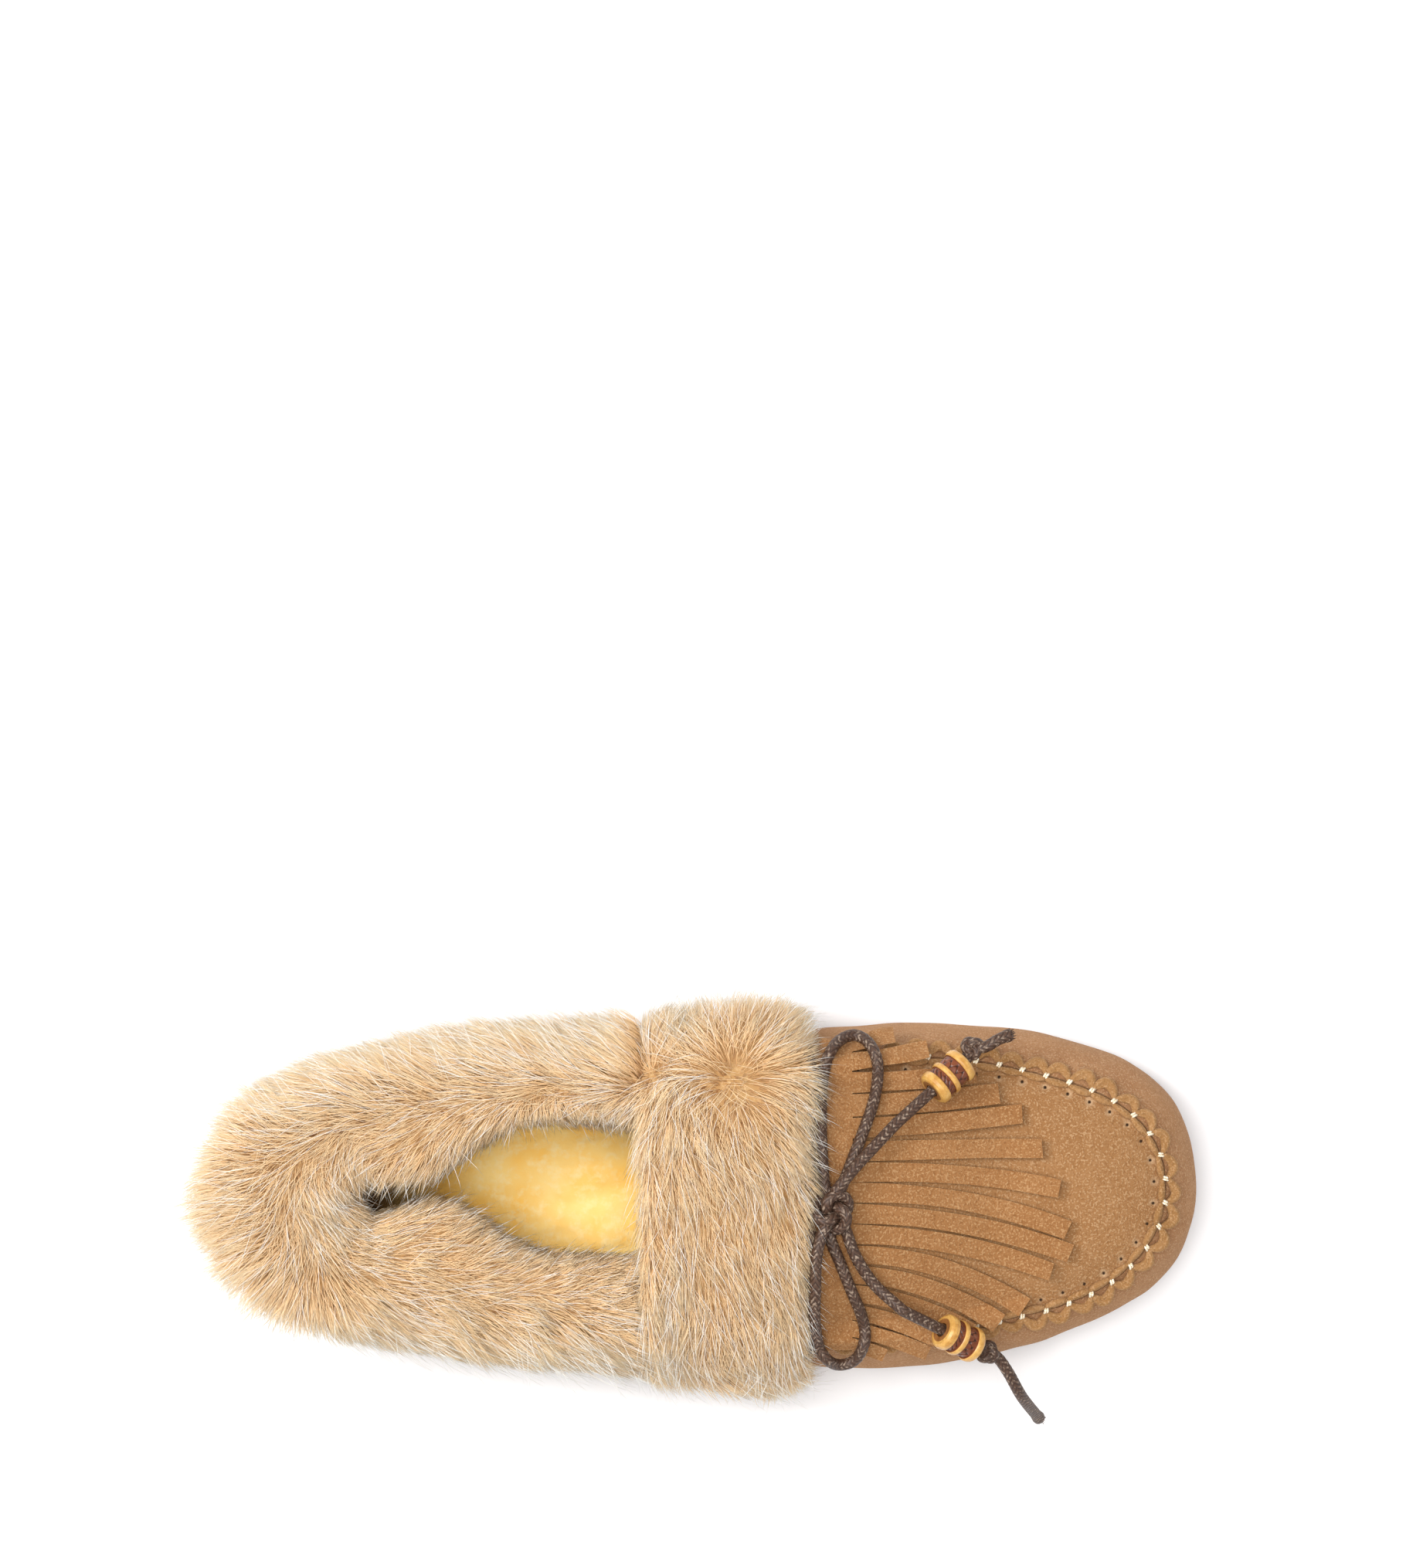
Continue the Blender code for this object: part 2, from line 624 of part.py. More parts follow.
def build_upper():
    foot = SOLE_THICK + GAP
    inner = foot + BOARD_THICK + 0.0006
    wall = lambda s: levels(s, foot)
    st = ring_stations(X_JOIN + 0.0002)
    shell("toe_wrap", grid(st, wall, 0.0), grid(st, wall, -SUEDE_THICK))

    for name, side in (("medial_quarter", 1), ("lateral_quarter", -1)):
        back = [0.008] + HEEL_A[1:-1] if side > 0 else [5.992] + HEEL_B[1:-1][::-1]
        st = back + side_row(X_HEEL_C, X_JOIN - 0.0002, side)
        shell(name, grid(st, wall, 0.0), grid(st, wall, -SUEDE_THICK))

    def apron(s):
        b = q_seam(s, -0.0003)
        return [b + (1 - b) * k / 6 for k in range(7)]

    st = ring_stations(X_MOUTH)
    shell("plug", grid(st, apron, 0.0), grid(st, apron, -SUEDE_THICK))

    d0 = -(SUEDE_THICK + GAP)
    st = ring_stations(X_MOUTH + 0.0015)
    rows = lambda s: levels(s, inner, plug=True)
    shell("vamp_lining", grid(st, rows, d0), grid(st, rows, d0 - LINING_THICK))

    d1 = d0 - LINING_THICK - GAP
    st = side_row(X_MOUTH - 0.0005, X_HEEL_C, 1)[:-1] + HEEL_A[::-1] + HEEL_B[::-1][1:-1] \
        + side_row(X_HEEL_C, X_MOUTH - 0.0005, -1)
    rows = lambda s: levels(s, inner)
    shell("quarter_lining", grid(st, rows, d1), grid(st, rows, d1 - LINING_THICK))
    st = HEEL_A[::-1][1:] + HEEL_B[::-1][1:-1]
    rows = lambda s: levels(s, inner, 3)
    shell("heel_counter", grid(st, rows, d0), grid(st, rows, d0 - LINING_THICK + 0.0001))
    st = [HEEL_A[2], HEEL_A[1], 0.0, HEEL_B[-2], HEEL_B[-3]]
    rows = lambda s: [q_of_z(s, foot + 0.0016), -0.5, 0.0, wall_top(s) / 5]
    shell("heel_strip", grid(st, rows, GAP + 0.0011), grid(st, rows, GAP))


def seam_points(n=None):
    """Points of the laced seam from the medial side round the toe."""
    x0 = 0.0340 * LENGTH_SCALE
    p = SEAM_P
    top = int(np.argmax(p[:, 0]))
    a = [i for i in range(len(p)) if p[i, 0] >= x0 or False]
    p = p[a[0]:a[-1] + 1]
    if n is None:
        length = np.linalg.norm(np.diff(p, axis=0), axis=1).sum()
        n = int(round(length / STITCH)) * 4 + 1
    return resample(p, n)


SEAM_RUN = seam_points()


def lift(x, y):
    """Extra height that carries the kiltie over the seam lacing."""
    d = math.sqrt(((SEAM_RUN - np.array([x, y])) ** 2).sum(1).min())
    return (2 * LACING_HALF_H + GAP + 0.0006 + 2 * THREAD_R) * (1 - smooth((d - 0.0026) / 0.0036))


def build_seam():
    n = len(SEAM_RUN)
    c, nor, rad, wid, th = [], [], [], [], []
    for i, (x, y) in enumerate(SEAM_RUN):
        ph = math.pi * i / 4.0
        bump = abs(math.sin(ph))
        m = top_normal(x, y)
        p = np.array([x, y, top_z(x, y)]) + m * (LACING_HALF_H + GAP)
        c.append(p)
        nor.append(m)
        rad.append(LACING_HALF_H * (0.62 + 0.38 * bump))
        wid.append(LACING_HALF_W / LACING_HALF_H * (0.72 + 0.28 * bump) / (0.62 + 0.38 * bump))
    tube("seam_lacing", c, rad, sides=5, nors=nor, ratio=wid)
    # thread: a shallow zigzag over the lacing, one crossing at each stitch
    pts = np.array(c)
    tan = np.gradient(pts, axis=0)
    tan /= np.linalg.norm(tan, axis=1)[:, None]
    path = []
    for i in range(0, n):
        m = nor[i] - tan[i] * np.dot(nor[i], tan[i])
        m /= np.linalg.norm(m)
        b = np.cross(tan[i], m)
        side = math.cos(math.pi * i / 4.0)
        path.append(pts[i] + m * (LACING_HALF_H + GAP + THREAD_R) + b * 0.0011 * side)
    tube("seam_thread", path[1:-1], THREAD_R, sides=4)


def cuff_section(reach_out, reach_in, rise, drop, wall, cord_room):
    """Inverted-U section as (outward, height above the topline)."""
    ch = cord_room
    return [(ch, -drop + 0.002), (ch + 0.0022, -drop), (ch + 0.0055, -drop + 0.004),
            (reach_out, -drop * 0.55), (reach_out + 0.0002, -drop * 0.20),
            (reach_out * 0.80, rise * 0.45), (reach_out * 0.35, rise * 0.92),
            (-0.0025, rise), (-reach_in * 0.60, rise * 0.80), (-reach_in * 0.92, rise * 0.25),
            (-reach_in, -drop * 0.22), (-reach_in * 0.90, -drop * 0.55),
            (-wall - 0.0030, -drop * 0.66), (-wall - 0.0008, -drop * 0.62),
            (-wall - 0.0006, 0.0008), (0.0008, 0.0008), (ch, -0.0010)]


def build_heel_cuff():
    x0 = X_MOUTH - 0.0052
    st = side_row(x0, X_HEEL_C, 1)[:-1] + HEEL_A[::-1] + HEEL_B[::-1][1:-1] \
        + side_row(X_HEEL_C, x0, -1)
    wall = SUEDE_THICK + 2 * LINING_THICK + 2 * GAP + 0.0001
    rows = []
    for i, s in enumerate(st):
        q1 = wall_top(s)
        top_p = surface(s, q1)
        zt = top_p[2]
        n = normal(s, max(q1 - 0.05, 0.0))
        room = 0.0044 / max(0.6, math.hypot(n[0], n[1]))
        n[2] = 0
        n /= np.linalg.norm(n)
        row = []
        for (u, h) in cuff_section(CUFF_OUT, CUFF_IN, CUFF_RISE, CUFF_DROP, wall, room):
            base = surface(s, q_of_z(s, min(zt, zt + h))) if h < 0 else top_p
            row.append(np.array([base[0], base[1], zt + h]) + n * u)
        rows.append(row)
    verts = [p for r in rows for p in r]
    m = len(rows[0])
    faces = []
    for i in range(len(rows) - 1):
        for j in range(m):
            a, b = i * m + j, i * m + (j + 1) % m
            faces.append([a, b, b + m, a + m])
    faces += cap(rows[0], 0) + cap(rows[-1], (len(rows) - 1) * m)
    solid("fur_cuff_heel", verts, faces)


def cap(row, base):
    """End cap of an inverted-U section, cut into the pairs across it."""
    tri = [(0, 1, 16), (1, 2, 16), (2, 3, 16), (3, 4, 16), (4, 5, 16), (5, 15, 16), (5, 6, 15),
           (6, 7, 15), (7, 14, 15), (7, 8, 14), (8, 9, 14), (9, 10, 14), (10, 13, 14),
           (10, 11, 13), (11, 12, 13)]
    return [[base + a, base + b, base + c] for a, b, c in tri]


def build_instep_cuff():
    """Saddle over the instep: sections in x and height over the surface,
    swept from the medial side over the ridge to the lateral side."""
    rows = []
    vals = [0.16, 0.25, 0.35, 0.45, 0.55, 0.65, 0.75, 0.85, 0.93, 1.0]
    seq = [(1, q) for q in vals] + [(-1, q) for q in vals[:-1][::-1]]
    xf = 0.0258 * LENGTH_SCALE
    xr = X_MOUTH - 0.0014
    xb = X_MOUTH - 0.0046
    for side, q in seq:
        k = smooth((0.78 - q) / 0.16)              # 1 on the sides, 0 on top
        under = 0.0024 + 0.0034 * k
        leg = smooth((q - 0.66) / 0.16)            # rear leg only at the mouth
        low = under + (-0.0160 - under) * leg
        full = 0.0112 if side > 0 else 0.0112 - 0.0014 * k
        topo = under + (full - under) * (0.60 + 0.40 * smooth((q - 0.16) / 0.22))
        bottom = min(low, under - 0.0002) if leg > 0.02 else under - 0.0002
        prof = [(xf, under), (xf + 0.0002, under + 0.35 * (topo - under)),
                (xf + 0.0004, under + 0.60 * (topo - under)),
                (xf - 0.0050, under + 0.90 * (topo - under)),
                (0.5 * (xf + xr), topo), (xr + 0.004, under + 0.90 * (topo - under)),
                (xb, under + 0.5 * (topo - under)), (xb, bottom), (xr, bottom),
                (xr, under), (0.5 * (xf + xr), under)]
        row = []
        for (x, off) in prof:
            s = side_s(x, side)
            p = surface(s, q)
            n = normal(s, q)
            if off < 0 or x <= xr:
                n = np.array([0, n[1], n[2]]) / math.hypot(n[1], n[2])
            row.append(p + n * off)
        rows.append(row)
    verts = [p for r in rows for p in r]
    m = len(rows[0])
    faces = []
    for i in range(len(rows) - 1):
        for j in range(m):
            a, b = i * m + j, i * m + (j + 1) % m
            faces.append([a, b, b + m, a + m])
    faces.append(list(range(m)))
    faces.append([(len(rows) - 1) * m + j for j in reversed(range(m))])
    solid("fur_cuff_instep", verts, faces)


# strips of the fringe: root, bend, tip (plan), full width, hinged or not
STRIPS = [
    ((.0385, .0397), (.0450, .0411), (.0505, .0421), .0034, False),
    ((.0385, .0354), (.0490, .0368), (.0595, .0388), .0044, False),
    ((.0385, .0302), (.0550, .0308), (.0725, .0322), .0048, False),
    ((.0385, .0245), (.0580, .0253), (.0783, .0272), .0054, False),
    ((.0385, .0187), (.0600, .0197), (.0838, .0219), .0050, False),
    ((.0385, .0128), (.0600, .0130), (.0890, .0130), .0050, False),
    ((.0385, .0074), (.0650, .0066), (.0935, .0026), .0048, True),
    ((.0385, .0022), (.0650, .0002), (.0960, -.0083), .0048, True),
    ((.0385, -.0031), (.0650, -.0058), (.0965, -.0143), .0048, True),
    ((.0385, -.0084), (.0650, -.0114), (.0918, -.0192), .0048, True),
    ((.0385, -.0138), (.0640, -.0181), (.0848, -.0285), .0046, False),
    ((.0385, -.0189), (.0590, -.0228), (.0780, -.0325), .0046, False),
    ((.0385, -.0239), (.0540, -.0270), (.0706, -.0350), .0044, False),
    ((.0385, -.0286), (.0490, -.0311), (.0615, -.0362), .0040, False),
    ((.0385, -.0330), (.0480, -.0356), (.0600, -.0404), .0038, False),
    ((.0385, -.0372), (.0430, -.0385), (.0480, -.0404), .0034, False)]
HINGE_X = 0.0455 * LENGTH_SCALE
YOKE_X = 0.0398 * LENGTH_SCALE


def strip_grid(strip, x_start, off, n=11):
    (ax, ay), (bx, by), (cx, cy), w, free = strip
    p = [(ax, ay), (bx, by), (cx, cy)]
    p = np.array([(x * LENGTH_SCALE, y * WIDTH_SCALE) for x, y in p])
    # quadratic curve through the three points
    t1 = (p[1, 0] - p[0, 0]) / (p[2, 0] - p[0, 0])
    rows = []
    xs = run(x_start, p[2, 0], n)
    ys = []
    for x in xs:
        t = (x - p[0, 0]) / (p[2, 0] - p[0, 0])
        l0 = (t - t1) * (t - 1) / (t1)
        l1 = t * (t - 1) / (t1 * (t1 - 1))
        l2 = t * (t - t1) / (1 - t1)
        ys.append(l0 * p[0, 1] + l1 * p[1, 1] + l2 * p[2, 1])
    for i, (x, y) in enumerate(zip(xs, ys)):
        j0, j1 = max(0, i - 1), min(n - 1, i + 1)
        slope = (ys[j1] - ys[j0]) / (xs[j1] - xs[j0])
        k = i / (n - 1)
        bx_ = -slope * smooth(k * 2.5)
        row = []
        for v in (-1, 0, 1):
            hw = 0.5 * w
            dy = v * hw
            dx = bx_ * dy
            row.append((x + dx, y + dy))
        rows.append([drape(q[0], q[1], off, 0.985) for q in row])
    return rows


def build_fringe():
    for i, strip in enumerate(STRIPS):
        x0 = (HINGE_X if strip[4] else YOKE_X) + 0.0004
        n = max(5, int(round((strip[2][0] - x0 / LENGTH_SCALE) / 0.0052)))
        lo = strip_grid(strip, x0, FLAP_OFF, n)
        hi = strip_grid(strip, x0, FLAP_OFF + FLAP_THICK, n)
        name = "fringe_strip_%02d" % (i + 1)
        if strip[4]:
            PIVOTS[name] = hi[0][1] + np.array([0.0, 0.0, 0.0001])
        shell(name, hi, lo)


def build_yoke():
    y1, y0 = 0.0412 * WIDTH_SCALE, -0.0390 * WIDTH_SCALE
    free = [s for s in STRIPS if s[4]]
    ya = max((s[0][1] + s[3] / 2) for s in free) * WIDTH_SCALE - 0.0001
    yb = min((s[0][1] - s[3] / 2) for s in free) * WIDTH_SCALE
    ys = run(y1, ya + 0.0002, 11) + [ya] + run(ya - 0.004, yb + 0.004, 5) + [yb] \
        + run(yb - 0.0002, y0, 10)
    lo, hi = [], []
    for y in ys:
        front = HINGE_X if yb <= y <= ya else YOKE_X
        back = 0.0205 * LENGTH_SCALE
        rl, rh = [], []
        for x in run(back, YOKE_X, 6) + [front]:
            yy = y - (0.0007 if x > YOKE_X else 0.0)
            rl.append(drape(x, yy, FLAP_OFF, 0.985))
            rh.append(drape(x, yy, FLAP_OFF + FLAP_THICK, 0.985))
        lo.append(rl)
        hi.append(rh)
    shell("kiltie_yoke", hi, lo)


# ---------------------------------------------------------------- the cords
KNOT_C = (0.0347 * LENGTH_SCALE, -0.0020 * WIDTH_SCALE)
KNOT_RAD = (0.0040, 0.0043, 0.0038)
LAY = FLAP_OFF + FLAP_THICK + GAP + CORD_R       # cord lying on the kiltie
OVER = LAY + 2 * CORD_R + GAP                    # cord lying on another cord

LOOP_MED = [(.0324, .0046, 0), (.0318, .0120, 0), (.0316, .0220, 0), (.0322, .0320, 0),
            (.0350, .0396, 0), (.0400, .0424, 0), (.0443, .0402, 0), (.0464, .0345, 0),
            (.0455, .0265, 0), (.0425, .0180, 0), (.0397, .0110, 0), (.0374, .0052, 0)]
LOOP_LAT = [(.0312, -.0094, 1), (.0302, -.0150, 1), (.0300, -.0230, 1), (.0300, -.0310, 1),
            (.0314, -.0385, .8), (.0355, -.0426, .3), (.0405, -.0415, .1), (.0430, -.0360, 0),
            (.0422, -.0300, 0), (.0393, -.0228, 0), (.0362, -.0150, 0), (.0340, -.0096, 0)]


def cord_path(rows, n):
    step = OVER - LAY
    c = resample(spline([(x * LENGTH_SCALE, y * WIDTH_SCALE, k * step) for x, y, k in rows],
                        per=10), n)
    return [drape(x, y, LAY + 0.0002 + max(0.0, k)) for x, y, k in c]


BEADS = {"medial": ((.0645, .0320), (.75, .66), 1), "lateral": ((.0673, -.0358), (.88, -.47), -1)}


def straight_run(which):
    """Bead centre and unit direction of the straight part of a tail, laid
    just clear of the fringe for the whole of the bead's travel."""
    (bx, by), (dx, dy), side = BEADS[which]
    bx, by = bx * LENGTH_SCALE, by * WIDTH_SCALE
    k = math.hypot(dx, dy)
    dx, dy = dx / k, dy / k
    clear = BEAD_R + FLAP_OFF + FLAP_THICK + 0.0006
    back, fore = SLIDE + BEAD_LEN / 2, BEAD_LEN / 2
    best = None
    for i in range(81):
        slope = -1.2 + 0.015 * i
        need = -1
        for t in run(-back, fore, 15):
            for w in (-0.0045, 0.0, 0.0045):
                x, y = bx + dx * t - dy * w, by + dy * t + dx * w
                px, py = keep_in(x, y, 0.985)
                nn = top_normal(px, py)
                z = top_z(px, py) + (FLAP_OFF + FLAP_THICK + lift(x, y)) / max(nn[2], 0.45)
                drop = BEAD_R - math.sqrt(max(0.0, BEAD_R ** 2 - w * w))
                need = max(need, z + 0.0008 + BEAD_R * math.sqrt(1 + slope * slope) - drop - slope * t)
        mid = need - slope * back * 0.0
        score = need + abs(slope) * 0.002
        if best is None or score < best[0]:
            best = (score, slope, need)
    slope, z = best[1], best[2]
    d = np.array([dx, dy, slope])
    d /= np.linalg.norm(d)
    return np.array([bx, by, z]), d


def build_tail(which):
    b, d = straight_run(which)
    side = BEADS[which][2]
    start = b - d * (SLIDE + BEAD_LEN / 2 + 0.0012)
    end = b + d * (BEAD_LEN / 2 + 0.0004)
    kx, ky = KNOT_C
    if which == "medial":
        lead = [drape(0.0362 * LENGTH_SCALE, 0.0042 * WIDTH_SCALE, OVER + 0.0004),
                drape(0.0400 * LENGTH_SCALE, 0.0088 * WIDTH_SCALE, OVER + 0.0005),
                drape(0.0440 * LENGTH_SCALE, 0.0130 * WIDTH_SCALE, OVER + 0.0003)]
    else:
        lead = [drape(0.0382 * LENGTH_SCALE, -0.0080 * WIDTH_SCALE, LAY + 0.0004),
                drape(0.0405 * LENGTH_SCALE, -0.0140 * WIDTH_SCALE, LAY + 0.0010),
                drape(0.0452 * LENGTH_SCALE, -0.0212 * WIDTH_SCALE, LAY + 0.0026)]
    pts = spline(lead + [start], per=5)
    pts = list(pts[:-1]) + [start + (end - start) * t for t in (0, .3, .6, .8, 1.0)]
    for piece in ("tail_", "stopper_", "cord_end_"):
        PIVOTS[piece + which] = lead[0] + np.array([0, 0, CORD_R])
    PIVOTS["bead_" + which] = b
    cord("tail_" + which, resample(pts, 13), CORD_R)

    h = BEAD_LEN / 2
    ring, band = BEAD_R, BEAD_R - 0.0007
    prof = [(-h, BEAD_BORE), (-h, ring - 0.0009), (-h + 0.0006, ring - 0.0002),
            (-h + 0.0018, ring), (-h + 0.0024, ring), (-h + 0.0025, band),
            (-h + 0.0056, band), (-h + 0.0057, ring), (-h + 0.0071, ring), (-h + 0.0072, band),
            (-h + 0.0090, band), (-h + 0.0091, ring), (h - 0.0014, ring),
            (h - 0.0005, ring - 0.0002), (h, ring - 0.0009), (h, BEAD_BORE)]
    if which == "lateral":
        prof = [(-u, w) for u, w in prof[::-1]]
    lathe("bead_" + which, b, d, prof, sides=16)

    perp = np.cross([0, 0, 1.0], d)
    perp /= np.linalg.norm(perp)
    kc = b + d * (h + 0.0004 + KNOT_R) + perp * (0.0012 if side > 0 else 0.0)
    kc = kc + np.array([0, 0, 0.0002])
    pts_end = b + d * (h + 0.0004)
    blob("stopper_" + which, kc + d * 0.0006, (KNOT_R - 0.0002, KNOT_R + 0.0003, KNOT_R),
         axis=d, lobes=3, depth=0.10)
    if which == "medial":
        a = kc + np.array([0.0040, 0.0008, 0.0004])
        e = np.array([0.0804 * LENGTH_SCALE, 0.0425 * WIDTH_SCALE, a[2] - 0.0012])
        m = (a + e) / 2 + np.array([0, 0.0003, 0.0004])
        pts = spline([a, m, e], per=4)
    else:
        a = kc + d * (KNOT_R + 0.0009) + np.array([0, 0, -0.0002])
        e = np.array([0.0896 * LENGTH_SCALE, -0.0595 * WIDTH_SCALE, 0.0170])
        pts = spline([a, a + np.array([.0030, -.0042, -.0020]),
                      a + np.array([.0068, -.0110, -.0085]), e], per=4)
    cord("cord_end_" + which, resample(pts, 4 if side > 0 else 7), CORD_R, ends=(1.0, 1.2))


def build_cords():
    kz = drape(KNOT_C[0], KNOT_C[1], FLAP_OFF + FLAP_THICK + GAP)[2] + KNOT_RAD[2]
    blob("bow_knot", (KNOT_C[0], KNOT_C[1], kz), KNOT_RAD, axis=(0.6, 0.8, 0), lobes=3, depth=0.10,
         sides=14)
    cord("loop_medial", cord_path(LOOP_MED, 24), CORD_R)
    ends = cord_path(LOOP_LAT, 24)
    PIVOTS["loop_lateral"] = np.array([(ends[0][0] + ends[-1][0]) / 2, ends[0][1],
                                       max(ends[0][2], ends[-1][2]) + CORD_R])
    cord("loop_lateral", ends, CORD_R)
    build_tail("medial")
    build_tail("lateral")
    # the cord round the collar: up from the knot's two sides, back under
    # the cuffs along the quarters and round the heel
    xc = 0.0287 * LENGTH_SCALE
    half = {}
    for side in (1, -1):
        y_knot = 0.0030 if side > 0 else -0.0074
        p = [drape(xc, y_knot * WIDTH_SCALE, LAY)]
        sgn = side
        for y in (0.010, 0.017, 0.024, 0.031, 0.0365):
            p.append(drape(xc, sgn * y * WIDTH_SCALE, LAY + 0.0002))
        for x, z, o in ((.0262, .0440, LAY + .0002), (.0200, .0430, LAY + .0002),
                        (.0110, .0432, LAY), (.0000, .0440, .0028), (-.0105, .0462, .0022)):
            s = side_s(x * LENGTH_SCALE, side)
            p.append(skin(s, q_of_z(s, z * HEIGHT_SCALE), o))
        for x in (-.0200, -.0400, -.0620, -.0800):
            s = side_s(x * LENGTH_SCALE, side)
            p.append(skin(s, wall_top(s) - 0.06, CORD_R + 0.0007))
        half[side] = p
    back = []
    for s in (0.70, 0.40, 0.12, 5.88, 5.60, 5.30):
        back.append(skin(s, wall_top(s) - 0.06, CORD_R + 0.0007))
    pts = half[1] + back + half[-1][::-1]
    cord("lace_collar", resample(spline(pts, per=8), 62), CORD_R)


build_sole()
build_upper()
build_seam()
build_heel_cuff()
build_instep_cuff()
build_yoke()
build_fringe()
build_cords()
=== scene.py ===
# Fur-trimmed suede moccasin, right foot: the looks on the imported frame.
# Metres, +X to the toe, +Y to the medial side, +Z up, sole face at Z 0.
import math

import bpy
import bmesh
import numpy as np
from bpy.props import FloatProperty, FloatVectorProperty, IntProperty, PointerProperty
from mathutils import Matrix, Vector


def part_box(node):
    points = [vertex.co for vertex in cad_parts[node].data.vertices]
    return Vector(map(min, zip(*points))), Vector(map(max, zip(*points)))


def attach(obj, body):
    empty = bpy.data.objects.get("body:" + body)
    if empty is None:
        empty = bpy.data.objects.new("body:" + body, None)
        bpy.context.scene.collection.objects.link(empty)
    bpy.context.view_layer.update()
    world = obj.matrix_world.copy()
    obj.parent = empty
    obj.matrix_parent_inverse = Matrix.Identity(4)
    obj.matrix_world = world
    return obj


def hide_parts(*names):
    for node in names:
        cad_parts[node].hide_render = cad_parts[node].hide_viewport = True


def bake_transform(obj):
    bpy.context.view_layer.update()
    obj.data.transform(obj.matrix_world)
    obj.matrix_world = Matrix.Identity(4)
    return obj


bl_info = {
    "name": "Fur-trimmed moccasin",
    "version": (1, 0, 0),
    "blender": (4, 5, 0),
    "location": "View3D > Sidebar > Moccasin",
    "description": "Suede, fur, cord and beads of a soft moccasin on its packed frame",
    "category": "Object",
}

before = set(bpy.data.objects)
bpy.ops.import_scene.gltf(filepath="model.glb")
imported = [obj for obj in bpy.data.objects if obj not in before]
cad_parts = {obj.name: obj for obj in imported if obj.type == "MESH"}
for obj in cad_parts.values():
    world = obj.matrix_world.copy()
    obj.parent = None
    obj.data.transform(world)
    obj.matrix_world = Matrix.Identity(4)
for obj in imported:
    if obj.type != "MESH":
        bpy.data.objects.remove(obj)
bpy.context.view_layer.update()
SEED = 41

# ------------------------------------------------------ sizes of the frame
SOLE_TOP = float(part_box("outsole")[1][2])
SUEDE, LINING, GAP = 0.0018, 0.0013, 0.0003
SOLE_INSET, TUCK, WIDE_Z = 0.0024, 0.0035, 0.0160
FLAP, FLAP_OFF = 0.0013, 0.0004
BOARD, PAD = 0.0020, 0.0060                 # insole board and its shearling
CORD_UP, CORD_OVER = 0.0037, 0.0033         # a cord's middle over the apron, and over another cord
LACE_H, THREAD_R, STITCH = 0.0009, 0.00036, 0.0062
DOME = 0.4        # height of a cord's domed end in radii
HEEL_X, TOE_X, MOUTH_X, JOIN_X = -0.085, 0.085, -0.0105, 0.0150
ROUND_N, ROUND_M = 2.6, 2.2
HINGE_X, YOKE_X = 0.0455, 0.0398

OUTLINE = [
    (-.1195, .0003), (-.1160, .0105), (-.1093, .0185), (-.0973, .0245), (-.0852, .0278),
    (-.0611, .0330), (-.0370, .0355), (-.0129, .0385), (.0052, .0410), (.0173, .0425),
    (.0354, .0434), (.0595, .0444), (.0836, .0430), (.0957, .0406), (.1077, .0368),
    (.1138, .0340), (.1198, .0297), (.1258, .0228), (.1297, .0130), (.1310, .0030),
    (.1300, -.0080), (.1262, -.0172), (.1198, -.0245), (.1138, -.0287), (.1077, -.0322),
    (.0957, -.0372), (.0836, -.0412), (.0595, -.0456), (.0354, -.0460), (.0173, -.0440),
    (.0052, -.0418), (-.0129, -.0385), (-.0370, -.0340), (-.0611, -.0305),
    (-.0852, -.0258), (-.0973, -.0225), (-.1093, -.0165), (-.1160, -.0095)]
SEAM = [
    (-.0200, .0300), (-.0050, .0325), (.0100, .0345), (.0300, .0358), (.0510, .0360),
    (.0640, .0356), (.0762, .0342), (.0886, .0316), (.1000, .0282), (.1090, .0240),
    (.1155, .0185), (.1198, .0115), (.1214, .0035), (.1206, -.0045), (.1172, -.0120),
    (.1110, -.0190), (.1035, -.0243), (.0930, -.0285), (.0848, -.0306), (.0740, -.0330),
    (.0600, -.0350), (.0450, -.0362), (.0300, -.0362), (.0100, -.0350), (-.0050, -.0328),
    (-.0200, -.0300)]
RIDGE = [(-.1300, .1500), (-.0850, .1500), (-.0620, .1420), (-.0430, .1120), (-.0270, .0870),
         (-.0105, .0735), (.0050, .0680), (.0200, .0632), (.0400, .0572), (.0600, .0508),
         (.0750, .0455), (.0850, .0437), (.1000, .0434)]
TOPLINE = [(-.1250, .0632), (-.1150, .0625), (-.1000, .0600), (-.0800, .0565),
           (-.0600, .0550), (-.0350, .0552), (-.0105, .0562)]
CENTRE = [(-.130, .0010), (-.085, .0010), (-.060, .0012), (-.030, .0004), (.000, -.0004),
          (.030, -.0010), (.060, -.0004), (.085, .0010), (.100, .0010)]
